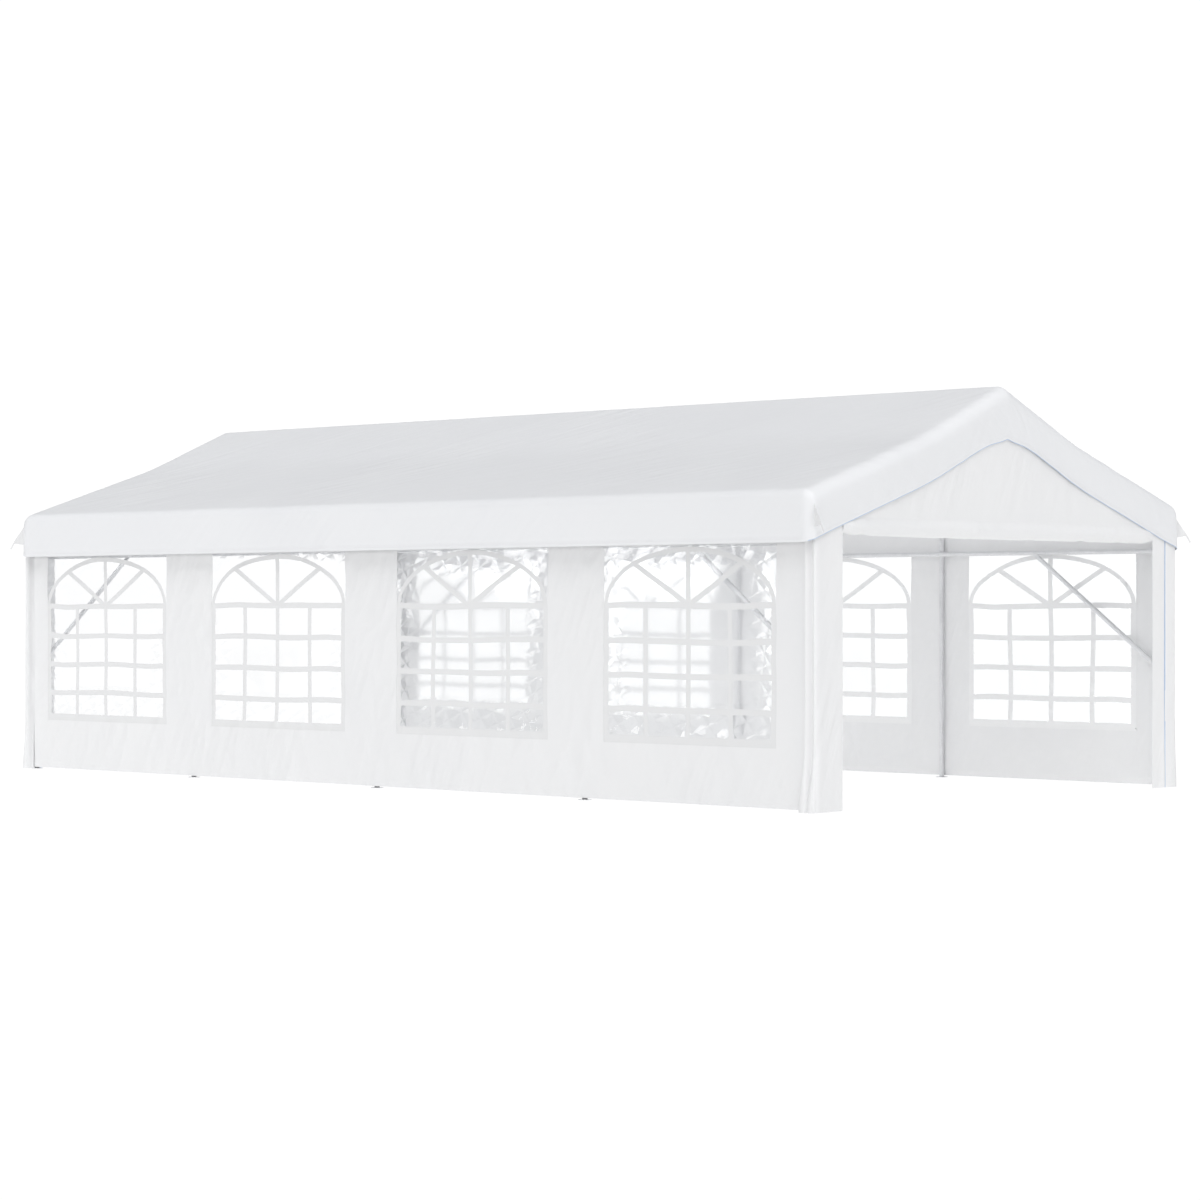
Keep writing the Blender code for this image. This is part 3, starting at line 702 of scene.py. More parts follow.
def barOutlines():
    # each printed bar as a closed outline, counter-clockwise, in the window's own Y and Z
    half, frameWidth, bar = longWall["windowHalf"], windowBars["frameWidth"], windowBars["barWidth"] / 2
    bottom, spring, crown = longWall["windowBottom"], windowBars["springHeight"], windowBars["archHeight"]
    outlines = [boxOutline(-half, bottom, half, bottom + windowBars["sillWidth"]),
                boxOutline(-half, bottom, frameWidth - half, spring),
                boxOutline(half - frameWidth, bottom, half, spring)]
    outlines += [boxOutline(-half, height - bar, half, height + bar)
                 for height in (*windowBars["crossHeights"], spring)]
    outlines += [boxOutline(upright - bar, bottom, upright + bar, spring if upright else crown - bar)
                 for upright in windowBars["uprights"]]
    turns = np.linspace(0, math.pi, 73)
    inset, rise = half - 0.001, crown - spring
    outer, inner = ([((inset - ring) * math.cos(t), spring + (rise - ring) * math.sin(t)) for t in turns]
                    for ring in (0.0, windowBars["ringWidth"]))
    outlines.append(outer + inner[::-1])
    tilt = math.radians(windowBars["diagonalTilt"])
    reach = 1 / math.hypot(math.cos(tilt) / (inset - 0.01), math.sin(tilt) / (rise - 0.01))
    travel = np.linspace(0, reach, 25)
    for lean in (-1, 1):
        along = np.array([lean * math.cos(tilt), math.sin(tilt)])
        beside = np.array([-along[1], along[0]]) * windowBars["diagonalWidth"] / 2
        start = np.array([0.0, spring])
        outlines.append([tuple(start + along * d - beside) for d in travel]
                        + [tuple(start + along * d + beside) for d in travel[::-1]])
    return outlines


def filmSurface(y, z, spanLow, spanHigh, seed):
    # the film follows the wall at its welded edge and crinkles of itself farther in
    inside = np.minimum.reduce([y - spanLow, spanHigh - y,
                                z - longWall["windowBottom"], longWall["windowTop"] - z])
    near = wallBulge(y, z, seed)
    own = np.maximum(wallSlack(y, z, seed), 0) + creases(y, z, seed, windowFilm["creases"])
    return near + (own - near) * smoothStep(0.0, 0.14, inside) - windowFilm["drop"]


def buildFilm(side, end, seed):
    half, margin, step = longWall["windowHalf"], windowFilm["margin"], windowFilm["step"]
    bottom, top = longWall["windowBottom"], longWall["windowTop"]
    low, high = bottom - margin, top + margin / 2
    # the film's own edge, the opening's edge and the bars are cut into one flat sheet
    flat, loops = [], []
    edges = [boxOutline(-half - margin, low, half + margin, high), boxOutline(-half, bottom, half, top)]
    for outline in edges + barOutlines():
        loops.append(list(range(len(flat), len(flat) + len(outline))))
        flat.extend(outline)
    columns = np.linspace(-half - margin, half + margin, round(2 * half / step) + 1)
    levels = np.linspace(low, high, round((high - low) / step) + 1)
    flat.extend((y, z) for y in columns[1:-1] for z in levels[1:-1])
    cut, _, triangles, _, _, sources = delaunay_2d_cdt(list(map(Vector, flat)), [], loops, 1, 1e-5)
    cut = np.array([tuple(point) for point in cut])
    points, faces, uvs, kinds, slack = [], [], [], [], []
    for spanLow, spanHigh in windowSpans(side, end):
        first = len(points)
        y, z = cut[:, 0] + (spanLow + spanHigh) / 2, cut[:, 1]
        beside, below = np.minimum(y - spanLow, spanHigh - y), z - bottom
        slack.extend(np.maximum.reduce([smoothStep(0.25, 0.10, beside), smoothStep(0.26, 0.20, below),
                                        smoothStep(0.20, 0.08, top - z)]))
        loose = smoothStep(0.03, 0.25, np.minimum(beside, below)) * windowFilm["waver"]
        wavyY = y + loose * softNoise(y * 1.3, z * 1.5, seed + 30)
        wavyZ = z + loose * softNoise(y * 1.5, z * 1.3, seed + 31)
        x = side * (longWall["middleX"] + filmSurface(wavyY, wavyZ, spanLow, spanHigh, seed))
        points.extend(zip(x, wavyY, wavyZ))
        uvs.extend(zip(wavyY + clothShift["wall"] * side, wavyZ))
        for triangle, source in zip(triangles, sources):
            shape = [first + index for index in triangle]
            faces.append(shape[::-1] if side < 0 else shape)
            # clear film, a printed bar, or the rim that is welded to the wall
            kinds.append(1 if max(source) > 1 else 0 if 1 in source else 2)
    mesh = meshOf(f"film{panelName(side, end)}", points, faces, outerFilm, np.array(uvs))
    for material in (barPrint, wallSheeting, innerFilm, barPrintPaintedLight, wallSheeting):
        mesh.materials.append(material)
    mesh.polygons.foreach_set("material_index", kinds)
    mesh.attributes.new("slack", "FLOAT", "POINT").data.foreach_set("value", slack)
    piece = addPiece(f"windowFilm{panelName(side, end)}", mesh,
                     [nodeName("window_film", side, end)])
    # the inner face takes the last three materials; its bars take a lighter copy of the print as painted
    # light
    giveThickness(piece, windowFilm["thickness"], -1.0).material_offset = 3


for side, end in corners:
    buildLongWall(side, end, 100 + 40 * (side + 1))
    buildFilm(side, end, 100 + 40 * (side + 1))
print("long walls and window films made")


# gable walls: triangle, strips beside the doorway, and sleeves round the corner legs

gableWall = {
    "planeY": 3.985,
    "stripInner": 1.704,
    "sleeveTop": 1.90,
    "bottom": 0.003,
    "triangleBottom": 1.815,
    "topGap": 0.062,
    "columnStep": 0.028,
    "cornerStep": 0.0045,
    "stripStep": 0.02,
    "rowsBelow": 52,
    "rowsAbove": 30,
    "thickness": 0.0012,
    # the sleeves start at sleeveX; inside coveredX and coveredY the long wall hides them
    "sleeveX": 1.86,
    "coveredX": 1.945,
    "coveredY": 3.93,
    # the slit where sleeve and strip meet; where the sleeve lies open to view, the slit's faces take a
    # blue-grey painted shade
    "slitX": 1.857,
    "slitHalfWidth": 0.0058,
    "slitY": 3.95,
    "creases": ((0.0022, 3, 80, 0.7, 0.15), (0.0016, 4, -50, 0.4, 0.14)),
    # plan of the corner where a piped edge covers the end of the long wall
    "pipedCorner": ((1.9362, 3.80), (1.9375, 3.868), (1.946, 3.892), (1.963, 3.898), (1.976, 3.905),
                    (1.979, 3.915), (1.972, 3.930), (1.961, 3.944), (1.956, 3.951), (1.957, 3.958),
                    (1.965, 3.966), (1.968, 3.976), (1.957, 3.9845), (1.93, 3.988), (1.89, 3.9865),
                    (1.85, 3.985)),
    # plan of the corner where the wall's wavy end lies over the sleeve
    "openCorner": ((1.9362, 3.80), (1.9362, 3.89), (1.9385, 3.925), (1.952, 3.943), (1.975, 3.955),
                   (1.988, 3.970), (1.984, 3.985), (1.962, 3.9905), (1.915, 3.9895), (1.877, 3.988),
                   (1.865, 3.9865), (1.8585, 3.977), (1.857, 3.958), (1.8555, 3.977), (1.849, 3.9855),
                   (1.82, 3.9855)),
}


def smoothPath(marks, step):
    # an even walk along a smooth curve through the marks
    marks = np.array(marks)
    ends = np.vstack([2 * marks[0] - marks[1], marks, 2 * marks[-1] - marks[-2]])
    t = np.linspace(0, 1, 24, endpoint=False)[:, None]
    walk = [0.5 * (2 * b + (c - a) * t + (2 * a - 5 * b + 4 * c - d) * t * t
                   + (3 * b - a - 3 * c + d) * t ** 3)
            for a, b, c, d in zip(ends, ends[1:], ends[2:], ends[3:])]
    walk = np.vstack([*walk, marks[-1]])
    travel = travelAlong(walk)
    stations = np.linspace(0, travel[-1], round(travel[-1] / step) + 1)
    return np.column_stack([np.interp(stations, travel, places) for places in walk.T])


def gablePlan(end):
    # plan of the sheet from one long wall, round its leg and across to the other
    inner, planeY = gableWall["stripInner"], gableWall["planeY"]
    halves = []
    for side in (1, -1):
        shape = "pipedCorner" if side * end > 0 else "openCorner"
        corner = smoothPath(gableWall[shape], gableWall["cornerStep"])
        start = corner[-1][0]
        count = max(2, round((start - inner) / gableWall["stripStep"]))
        strip = [(x, planeY) for x in np.linspace(start, inner, count + 1)[1:]]
        halves.append(np.vstack([corner, strip]) * (side, 1))
    count = round(2 * inner / gableWall["columnStep"])
    middle = [(x, planeY) for x in np.linspace(inner, -inner, count + 1)[1:-1]]
    return np.vstack([halves[0], middle, halves[1][::-1]]), len(halves[0]), len(halves[1])


def gableHang(x, z, seed):
    # how far the flat part of a gable sheet stands out of its plane
    waves = 0.0034 * softNoise(x * 2.0, z * 0.9, seed + 2)
    return waves + creases(x, z, seed, gableWall["creases"]) - 0.0025


def sleeveHang(x, y, z, u, front, end, seed):
    # sleeves flare and fold towards the ground; nothing moves where the long wall covers them
    fromMiddle = np.abs(x)
    shown = (fromMiddle >= gableWall["coveredX"]) | (y >= gableWall["coveredY"])
    flare = smoothStep(0.8, 0.0, z) ** 2
    piped = np.where(x * end > 0, 1.0, 0.45)
    spread = 0.006 * flare + 0.030 * piped * (1 - front) * smoothStep(0.45, 0.0, z) ** 1.5
    folds = flare * 0.0028 * np.sin(u * 48 + 1.6 * np.sin(z * 4))
    z = np.where(shown, z, np.maximum(z, 0.024))
    ripple = 0.0012 * softNoise(u * 9, z * 1.6, seed + 1)
    out = (smoothStep(1.80, 1.90, fromMiddle) * spread + smoothStep(1.72, 1.80, fromMiddle) * folds
           + smoothStep(1.72, 1.78, fromMiddle) * ripple)
    return z, out * shown


def buildGableWall(end, seed):
    plan, firstHalf, secondHalf = gablePlan(end)
    endName, high = endNames[end], gableWall["triangleBottom"]
    travel = travelAlong(plan)
    travel -= travel[-1] / 2
    ahead = np.gradient(plan, axis=0)
    ahead /= np.hypot(*ahead.T)[:, None]
    top = np.minimum(roofTop(plan[:, 0]) - gableWall["topGap"],
                     np.where(np.abs(plan[:, 0]) > gableWall["sleeveX"], gableWall["sleeveTop"], np.inf))
    below = np.linspace(gableWall["bottom"], high, gableWall["rowsBelow"])
    above = np.linspace(0, 1, gableWall["rowsAbove"])[1:, None]
    z = np.vstack([np.repeat(below[:, None], len(plan), axis=1), high + above * (top - high)])
    x, y, u, outX, outY, _ = np.broadcast_arrays(*plan.T, travel, ahead[:, 1], -ahead[:, 0], z)
    front = smoothStep(0.3, 0.9, outY)
    z, out = sleeveHang(x, y, z, u, front, end, seed)
    out += front * gableHang(x, z, seed) * (1 - 0.7 * smoothStep(1.69, 1.74, np.abs(x)))
    # the doorway is left open
    keep = np.ones((len(z) - 1, len(plan) - 1), bool)
    keep[:len(below) - 1, firstHalf - 1:len(plan) - secondHalf] = False
    points, faces, uvs = dropLoose(rowsOf(x + outX * out, end * (y + outY * out), z),
                                   gridFaces(*z.shape, keep, flip=end < 0),
                                   rowsOf(u + clothShift["gable"] * end, z))
    mesh = meshOf(f"gable{endName}", points, faces, wallSheeting, uvs)
    mesh.materials.append(paintedSeamShade)
    # painted shade: the slit's faces take the blue-grey shade colour instead of the sheeting
    middleX, middleY = points[np.array(faces)].mean(axis=1)[:, :2].T
    inSlit = ((middleX * middleY < 0) & (np.abs(middleY) > gableWall["slitY"])
              & (np.abs(np.abs(middleX) - gableWall["slitX"]) < gableWall["slitHalfWidth"]))
    mesh.polygons.foreach_set("material_index", inSlit.astype(np.int32))
    piece = addPiece(f"gableSheet{endName}", mesh, [f"gable_wall_{endName.lower()}"])
    giveThickness(piece, gableWall["thickness"], 0.0)


for end in (-1, 1):
    buildGableWall(end, 300 + end)
print("gable walls made")


# rolled-up doors

doorRoll = {
    "halfLength": 1.7035,
    "top": 1.797,
    "bottom": 1.697,
    "centreY": 3.970,
    "halfDepth": 0.038,
    "turns": 4.4,
    "stepsPerTurn": 26,
    "leadSteps": 9,
    "columns": 120,
    "pitch": 0.0058,
    "thickness": 0.0011,
    # where the lower edge is drawn in, how far, and over what reach
    "pinches": ((-1.50, 0.007, 0.05), (-0.62, 0.004, 0.06), (0.28, 0.005, 0.05), (0.86, 0.008, 0.05),
                (1.30, 0.004, 0.04)),
}


def buildDoorRoll(end, seed):
    # the door leaves the triangle's face and winds into a flattened, uneven roll
    half, endName = doorRoll["halfLength"], endNames[end]
    x = np.linspace(-half, half, doorRoll["columns"])[:, None]
    turn = np.linspace(0, doorRoll["turns"], round(doorRoll["turns"] * doorRoll["stepsPerTurn"]) + 1)
    inward, angle = doorRoll["pitch"] * turn, -2 * math.pi * turn
    taper = 1 - 0.30 * smoothStep(half - 0.12, half, np.abs(x))
    lower = smoothStep(0.2, -0.9, np.sin(angle))
    lump = 1 + 0.05 * softNoise(x * 2.4, turn * 0.15, seed) + 0.03 * softNoise(x * 8, angle * 0.4, seed + 1)
    halfWide = (doorRoll["halfDepth"] - 1.1 * inward) * (1 + (lump - 1) * lower) * (1.5 * taper - 0.5)
    halfHigh = ((doorRoll["top"] - doorRoll["bottom"]) / 2 - 1.15 * inward) * taper
    droop = 0.004 * softNoise(x * 1.1, 0.5, seed + 2)
    for place, depth, reach in doorRoll["pinches"]:
        droop = droop + depth * np.exp(-((x - place) / reach) ** 2)
    y = doorRoll["centreY"] + halfWide * np.cos(angle)
    z = (doorRoll["top"] + doorRoll["bottom"]) / 2 + halfHigh * np.sin(angle) + lower * droop
    # the lead from the triangle's face down to the front of the roll
    share = np.linspace(0, 1, doorRoll["leadSteps"])[:-1]
    fromZ = gableWall["triangleBottom"]
    fromY = gableWall["planeY"] + gableHang(x, fromZ, seed)
    y = np.hstack([fromY + (y[:, :1] - fromY) * smoothStep(0, 1, share), y])
    z = np.hstack([fromZ + (z[:, :1] - fromZ) * share, z])
    middle = len(x) // 2
    length = travelAlong(np.column_stack([y[middle], z[middle]]))
    mesh = meshOf(f"doorRoll{endName}", rowsOf(x, end * y, z), gridFaces(*z.shape, flip=end < 0),
                  wallSheeting, rowsOf(x + clothShift["door"] * end, length))
    piece = addPiece(f"rolledDoor{endName}", mesh, [f"door_roll_{endName.lower()}"])
    giveThickness(piece, doorRoll["thickness"], 0.0)


for end in (-1, 1):
    buildDoorRoll(end, 300 + end)
print("rolled doors made")


# steel frame: round tubes along paths

steelFrame = {
    "tubeRadius": 0.016,
    "eaveZ": 1.97695,
    "ridgeZ": 2.6811,
    "kneeZ": 2.3394,
    "core": 0.026,
    "railReach": 3.9297,
    "sideRailReach": 3.941,
    "sideRailZ": 1.651,
    "sideRailX": 1.8857,
    "plateRadius": 0.045,
    "plateThickness": 0.003,
    "capHeight": 0.013,
    "capRadius": 0.0182,
    "braceRadius": 0.0165,
    # how far from each end a brace's tube starts, and the strap that bolts it down
    "braceStart": 0.055,
    "strapLength": 0.07,
    "strapWidth": 0.027,
    "strapThickness": 0.003,
    "strapGap": 0.0016,
    "socketRadius": 0.0197,
    "pinAboveRail": 0.11,
    # each corner brace: height of its foot on the leg and how far along the wall its head stands
    "braces": {(1, -1): (0.82, 2.861), (-1, -1): (0.858, 2.892),
               (-1, 1): (0.796, 2.832), (1, 1): (0.81, 2.85)},
    "tube": {"Tube Radius": 0.016, "Tube Sides": 28, "Bend Radius": 0.08, "Bend Steps": 6},
    "bolt": {"Head Radius": 0.0075, "Head Height": 0.005, "Washer Radius": 0.0105, "Washer Height": 0.0014},
    "stitch": {"Pitch": 0.013, "Stitch Length": 0.009, "Thread Radius": 0.0006},
}


def startTree(name, shapeName, sizes):
    # a Geometry Nodes tree that takes a shape, its sizes and a material
    tree = bpy.data.node_groups.new(name, "GeometryNodeTree")
    addSocket = tree.interface.new_socket
    addSocket(shapeName, in_out="INPUT", socket_type="NodeSocketGeometry")
    for sizeName, value in sizes.items():
        kind = "NodeSocketInt" if isinstance(value, int) else "NodeSocketFloat"
        addSocket(sizeName, in_out="INPUT", socket_type=kind).default_value = value
    addSocket("Finish", in_out="INPUT", socket_type="NodeSocketMaterial")
    return tree, tree.nodes.new("NodeGroupInput").outputs


def endTree(tree, given, shape, shapeName):
    # the tree gives back real geometry with its material
    tree.interface.new_socket(shapeName, in_out="OUTPUT", socket_type="NodeSocketGeometry")
    real = addNode(tree, "GeometryNodeRealizeInstances", Geometry=shape)
    finish = addNode(tree, "GeometryNodeSetMaterial", Geometry=real.outputs["Geometry"],
                     Material=given["Finish"])
    addNode(tree, "NodeGroupOutput", **{shapeName: finish.outputs["Geometry"]})
    return tree


def makeTubeTree():
    tree, given = startTree("tubeAlongPath", "Path", steelFrame["tube"])
    path = addNode(tree, "GeometryNodeMeshToCurve", Mesh=given["Path"])
    bend = addNode(tree, "GeometryNodeFilletCurve", mode="POLY", Curve=path.outputs["Curve"],
                   Radius=given["Bend Radius"], Count=given["Bend Steps"], **{"Limit Radius": True})
    ring = addNode(tree, "GeometryNodeCurvePrimitiveCircle", Radius=given["Tube Radius"],
                   Resolution=given["Tube Sides"])
    sweep = addNode(tree, "GeometryNodeCurveToMesh", Curve=bend.outputs["Curve"],
                    **{"Profile Curve": ring.outputs["Curve"], "Fill Caps": True})
    return endTree(tree, given, sweep.outputs["Mesh"], "Tube")


def makeBoltTree():
    # a bolt head with its washer on every point, turned to the way the point faces
    tree, given = startTree("boltsOnPoints", "Points", steelFrame["bolt"])
    both = addNode(tree, "GeometryNodeJoinGeometry")
    for part, sides in (("Head", 6), ("Washer", 20)):
        height = given[f"{part} Height"]
        solid = addNode(tree, "GeometryNodeMeshCylinder", Vertices=sides, Radius=given[f"{part} Radius"],
                        Depth=height)
        lift = addNode(tree, "ShaderNodeCombineXYZ", Z=addMath(tree, "MULTIPLY", height, 0.5))
        raised = addNode(tree, "GeometryNodeTransform", Geometry=solid.outputs["Mesh"],
                         Translation=lift.outputs["Vector"])
        tree.links.new(raised.outputs["Geometry"], both.inputs["Geometry"])
    facing = addNode(tree, "GeometryNodeInputNamedAttribute", data_type="FLOAT_VECTOR", Name="facing")
    turn = addNode(tree, "FunctionNodeAlignEulerToVector", axis="Z", Vector=facing.outputs["Attribute"])
    spots = addNode(tree, "GeometryNodeInstanceOnPoints", Points=given["Points"],
                    Instance=both.outputs["Geometry"], Rotation=turn.outputs["Rotation"])
    return endTree(tree, given, spots.outputs["Instances"], "Bolts")


def makeStitchTree():
    # short stitches laid end to end along a path
    tree, given = startTree("stitchesAlongPath", "Path", steelFrame["stitch"])
    path = addNode(tree, "GeometryNodeMeshToCurve", Mesh=given["Path"])
    marks = addNode(tree, "GeometryNodeCurveToPoints", mode="LENGTH", Curve=path.outputs["Curve"],
                    Length=given["Pitch"]).outputs
    stitch = addNode(tree, "GeometryNodeMeshCylinder", Vertices=5, Radius=given["Thread Radius"],
                     Depth=given["Stitch Length"])
    spots = addNode(tree, "GeometryNodeInstanceOnPoints", Points=marks["Points"], Rotation=marks["Rotation"],
                    Instance=stitch.outputs["Mesh"])
    return endTree(tree, given, spots.outputs["Instances"], "Stitches")


def runTree(tree, start, settings):
    # evaluates a tree on a mesh and gives back a plain mesh
    carrier = addObject("carrier", start)
    modifier = carrier.modifiers.new("nodes", "NODES")
    modifier.node_group = tree
    for item in tree.interface.items_tree:
        if item.in_out == "INPUT" and item.name in settings:
            modifier[item.identifier] = settings[item.name]
    evaluated = carrier.evaluated_get(bpy.context.evaluated_depsgraph_get())
    mesh = bpy.data.meshes.new_from_object(evaluated)
    bpy.data.objects.remove(carrier, do_unlink=True)
    return mesh


tubeTree = makeTubeTree()


def tubeMesh(name, path, radius):
    line = bpy.data.meshes.new("path")
    line.from_pydata([tuple(point) for point in path], [(i, i + 1) for i in range(len(path) - 1)], [])
    mesh = runTree(tubeTree, line, {"Tube Radius": radius, "Bend Radius": 0.05, "Finish": steel})
    mesh.name = name
    mesh.shade_smooth()
    mesh.set_sharp_from_angle(angle=math.radians(40))
    return mesh


def finishMesh(build, name, *materials):
    mesh = bpy.data.meshes.new(name)
    build.to_mesh(mesh)
    build.free()
    for material in materials:
        mesh.materials.append(material)
    return mesh


def joinMeshes(name, meshes):
    whole = bmesh.new()
    materials = []
    for mesh in meshes:
        materials += [material for material in mesh.materials if material not in materials]
        start = len(whole.faces)
        whole.from_mesh(mesh)
        whole.faces.ensure_lookup_table()
        for face in whole.faces[start:]:
            face.material_index = materials.index(mesh.materials[face.material_index])
    return finishMesh(whole, name, *materials)


def addBand(build, low, high):
    # quads between two closed rings of points
    for step in range(len(low)):
        after = (step + 1) % len(low)
        build.faces.new((low[step], low[after], high[after], high[step]))


def turnedMesh(name, x, y, profile, finish, sides=40):
    # a closed turned shape about an upright axis, from radii and heights listed from the bottom up
    turns = [2 * math.pi * step / sides for step in range(sides)]
    build = bmesh.new()
    rings = [[build.verts.new((x + radius * math.cos(turn), y + radius * math.sin(turn), height))
              for turn in turns] for radius, height in profile]
    for low, high in zip(rings, rings[1:]):
        addBand(build, low, high)
    build.faces.new(rings[0][::-1])
    build.faces.new(rings[-1])
    return finishMesh(build, name, finish)


def strapBetween(start, stop, face):
    # a flat strap with rounded ends from one point to the other, flat to the given direction
    along = (stop - start).normalized()
    face = (face - along * face.dot(along)).normalized()
    wide = along.cross(face)
    radius, depth = steelFrame["strapWidth"] / 2, face * steelFrame["strapThickness"] / 2
    turns = [math.pi * (step / 8 - 0.5) for step in range(9)]
    outline = [centre + sign * radius * (along * math.cos(turn) + wide * math.sin(turn))
               for centre, sign in ((stop, 1), (start, -1)) for turn in turns]
    build = bmesh.new()
    low, high = ([build.verts.new(point + shift) for point in outline] for shift in (-depth, depth))
    build.faces.new(low[::-1])
    build.faces.new(high)
    addBand(build, low, high)
    bmesh.ops.recalc_face_normals(build, faces=build.faces)
    return finishMesh(build, "strap", steel)


def buildLegs():
    plate, thick = steelFrame["plateRadius"], steelFrame["plateThickness"]
    cap, capTop = steelFrame["capRadius"], steelFrame["capHeight"]
    plateProfile = ((plate - 0.0006, 0.0), (plate, 0.0006), (plate, thick - 0.0008), (plate - 0.0008, thick))
    capProfile = ((cap, thick), (cap, capTop - 0.002), (cap - 0.0015, capTop))
    top = steelFrame["eaveZ"] - steelFrame["core"]
    for side, sideName in sideNames.items():
        x = side * tent["legX"]
        for number, y in enumerate(tent["frameYs"], start=1):
            # painted shade: the left side's feet, all but the front one, get dark caps that stand in for the
            # shade under the wall's hem
            finish = footCapPaintedShade if side < 0 and number > 1 else steel
            mesh = joinMeshes(f"leg{sideName}{number}", [
                tubeMesh("tube", [(x, y, thick), (x, y, top)], steelFrame["tubeRadius"]),
                turnedMesh("plate", x, y, plateProfile, steel), turnedMesh("cap", x, y, capProfile, finish)])
            addPiece(f"legTube{sideName}{number}", mesh, [f"leg_{sideName.lower()}_{number}"], 40)


def buildRoofTubes():
    legX, ridgeZ, radius = tent["legX"], steelFrame["ridgeZ"], steelFrame["tubeRadius"]
    eave, bend = Vector((legX, 0, steelFrame["eaveZ"])), Vector((tent["kneeX"], 0, steelFrame["kneeZ"]))
    foot = eave + (bend - eave).normalized() * steelFrame["core"]
    mirror = Vector((-1, 1, 1))
    path = (foot * mirror, bend * mirror, Vector((0, 0, ridgeZ)), bend, foot)
    for number, y in enumerate(tent["frameYs"], start=1):
        mesh = tubeMesh("rafters", [point + Vector((0, y, 0)) for point in path], radius)
        addPiece(f"rafterTubes{number}", mesh, [f"rafter_pair_{number}"])
    rails = [("ridgeTube", "ridge_rail", 0.0, ridgeZ, steelFrame["railReach"])]
    for kind, x, z, reach in (("eave", legX, steelFrame["eaveZ"], steelFrame["railReach"]),
                              ("side", steelFrame["sideRailX"], steelFrame["sideRailZ"],
                               steelFrame["sideRailReach"])):
        rails += [(f"{kind}Tube{name}", f"{kind}_rail_{name.lower()}", side * x, z, reach)
                  for side, name in sideNames.items()]
    for name, node, x, z, reach in rails:
        addPiece(name, tubeMesh("rail", [(x, -reach, z), (x, reach, z)], radius), [node])


def buildBraces():
    # corner braces: a thin tube flattened at both ends, bolted to the leg and to the side rail
    footX, headX = (x - steelFrame["tubeRadius"] - steelFrame["strapGap"]
                    for x in (tent["legX"], steelFrame["sideRailX"]))
    for side, end in corners:
        footZ, headY = steelFrame["braces"][side, end]
        foot = Vector((side * footX, end * tent["endFrameY"], footZ))
        head = Vector((side * headX, end * headY, steelFrame["sideRailZ"]))
        along = (head - foot).normalized()
        start, strap = along * steelFrame["braceStart"], along * steelFrame["strapLength"]
        mesh = joinMeshes(f"brace{panelName(side, end)}", [
            tubeMesh("tube", [foot + start, head - start], steelFrame["braceRadius"]),
            strapBetween(foot, foot + strap, Vector((side, 0, 0))),
            strapBetween(head, head - strap, Vector((side, 0, 0)))])
        addPiece(f"braceTube{panelName(side, end)}", mesh, [nodeName("brace", side, end)], 40)


def buildBolts():
    legX, railX, railZ = tent["legX"], steelFrame["sideRailX"], steelFrame["sideRailZ"]
    strap = steelFrame["tubeRadius"] + steelFrame["strapThickness"]
    spots = []
    for side in (-1, 1):
        for end in (-1, 1):
            footZ, headY = steelFrame["braces"][side, end]
            spots += [(side * (legX - strap), end * tent["endFrameY"], footZ),
                      (side * (railX - strap), end * headY, railZ)]
        for y in tent["frameYs"]:
            # the rail is bolted through to each leg, and each leg socket is pinned
            spots += [(side * (railX - steelFrame["tubeRadius"]), y, railZ),
                      (side * (legX - steelFrame["socketRadius"]), y, railZ + steelFrame["pinAboveRail"])]
    mesh = bpy.data.meshes.new("boltSpots")
    mesh.from_pydata(spots, [], [])
    facings = np.ravel([(-math.copysign(1, x), 0, 0) for x, _, _ in spots])
    mesh.attributes.new("facing", "FLOAT_VECTOR", "POINT").data.foreach_set("vector", facings)
    bolts = runTree(makeBoltTree(), mesh, {"Finish": steel})
    bolts.name = "frameBolts"
    addPiece("frameBolts", bolts)


def buildStitches():
    # the hem's seam, a closed line round the whole roof
    count = len(hemSeam)
    line = bpy.data.meshes.new("seam")
    line.from_pydata([tuple(point) for point in hemSeam], [(i, (i + 1) % count) for i in range(count)], [])
    stitches = runTree(makeStitchTree(), line, {"Finish": thread})
    stitches.name = "hemStitches"
    addPiece("hemStitches", stitches)


buildLegs()
buildRoofTubes()
buildBraces()
buildBolts()
buildStitches()
for name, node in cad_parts.items():
    if name.startswith("eave_connector"):
        node.data.materials.clear()
        node.data.materials.append(steel)
print("steel frame made")


# floor, light and camera

studio = {
    "floorSize": 120.0,
    "floorZ": -0.0004,
    "skyTone": (0.332, 0.336, 0.345),
    "backdropStrength": 1.06,
    # soft distant lights: the way each one shines, its strength and its spread
    "suns": {"keyLight": ((0.25, 0.33, -0.91), 1.77, 60.0), "leftLight": ((0.98, 0.05, -0.15), 0.40, 20.0),
             "frontLight": ((-0.10, 0.985, -0.13), 0.43, 20.0)},
    "sideStrength": 95.0,
    "sidePlace": (-11.0, 6.5, 2.6),
    "sideTarget": (-2.0, 2.0, 1.2),
    "sideSize": 2.2,
    "coverGlow": 8.5,
    "coverGlowSize": (0.9, 7.4),
    "coverGlowZ": 2.45,
    "cameraPlace": (-16.7156, -16.1161, 1.2406),
    "cameraLook": (0.72691, 0.68673),
    "lens": 93.96,
    "shiftUp": 0.00817,
}


def addFloor():
    half, z = studio["floorSize"] / 2, studio["floorZ"]
    mesh = bpy.data.meshes.new("floor")
    mesh.from_pydata([(-half, -half, z), (half, -half, z), (half, half, z), (-half, half, z)], [],
                     [(0, 1, 2, 3)])
    floor = addObject("floor", mesh)
    material, tree, shader = startMaterial("studioFloor")
    setInputs(tree, shader, {"Base Color": (0.04, 0.04, 0.04, 1), "Roughness": 0.9,
                             "Specular IOR Level": 0.0, "Emission Color": (1, 1, 1, 1),
                             "Emission Strength": 1.0})
    mesh.materials.append(material)


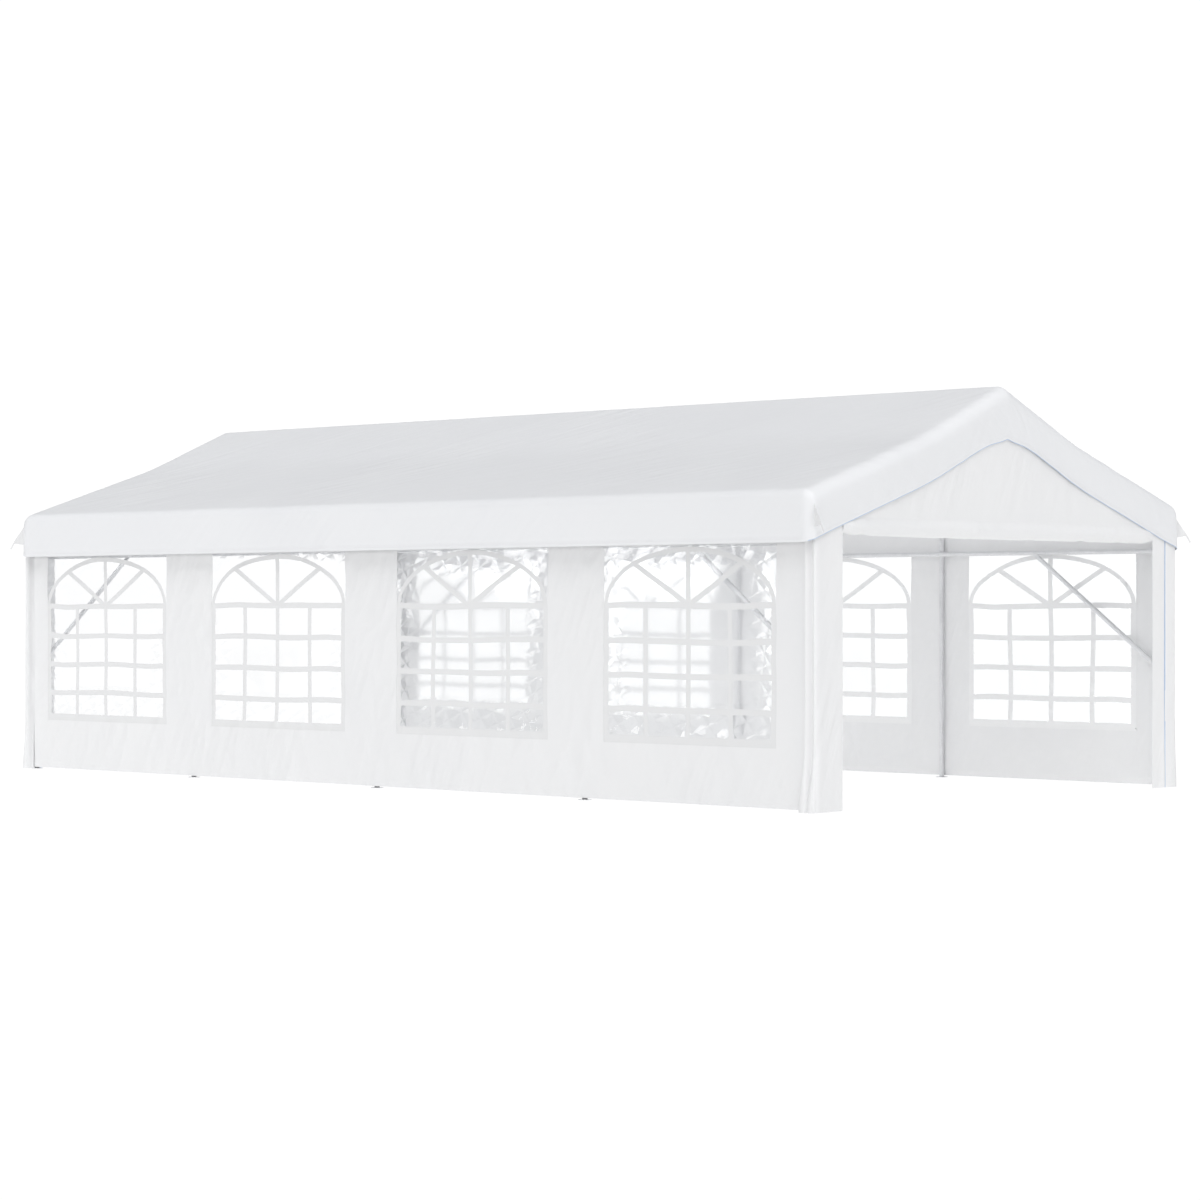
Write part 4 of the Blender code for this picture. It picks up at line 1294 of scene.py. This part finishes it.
def addSky():
    # white where the camera sees it, and a softer grey as a light
    world = bpy.data.worlds.new("studio")
    bpy.context.scene.world = world
    world.use_nodes = True
    tree = world.node_tree
    sky = tree.nodes["Background"]
    setInputs(tree, sky, {"Color": (*studio["skyTone"], 1)})
    backdrop = addNode(tree, "ShaderNodeBackground", Color=(1, 1, 1, 1), Strength=studio["backdropStrength"])
    rays = addNode(tree, "ShaderNodeLightPath").outputs
    seen = addMath(tree, "MAXIMUM", rays["Is Camera Ray"], rays["Is Transmission Ray"])
    choose = addNode(tree, "ShaderNodeMixShader", Fac=seen)
    setInputs(tree, choose, {1: sky.outputs["Background"], 2: backdrop.outputs["Background"]})
    setInputs(tree, tree.nodes["World Output"], {"Surface": choose.outputs["Shader"]})


def addLight(name, kind, strength, place=(0, 0, 0), way=None, **settings):
    data = bpy.data.lights.new(name, kind)
    data.energy = strength
    for setting, value in settings.items():
        setattr(data, setting, value)
    light = addObject(name, data)
    light.location = place
    if way is not None:
        light.rotation_euler = Vector(way).to_track_quat("-Z", "Y").to_euler()
    return light


def addLights():
    for name, (way, strength, spread) in studio["suns"].items():
        addLight(name, "SUN", strength, way=way, angle=math.radians(spread))
    toTent = Vector(studio["sideTarget"]) - Vector(studio["sidePlace"])
    addLight("sideLight", "AREA", studio["sideStrength"], studio["sidePlace"], toTent,
             size=studio["sideSize"])
    # daylight that comes through the white cover, as a wide soft light under the roof
    width, length = studio["coverGlowSize"]
    glow = addLight("coverGlow", "AREA", studio["coverGlow"], (0, 0, studio["coverGlowZ"]),
                    shape="RECTANGLE", size=width, size_y=length)
    glow.visible_camera = False
    glow.visible_transmission = False


def addCamera():
    data = bpy.data.cameras.new("camera")
    data.sensor_width = 36.0
    data.lens = studio["lens"]
    data.shift_y = studio["shiftUp"]
    data.clip_end = 300.0
    camera = addObject("camera", data)
    camera.location = studio["cameraPlace"]
    camera.rotation_euler = (math.pi / 2, 0, -math.atan2(*studio["cameraLook"]))
    bpy.context.scene.camera = camera


bpy.context.scene.view_settings.view_transform = "Standard"
addFloor()
addSky()
addLights()
addCamera()
print("studio made")
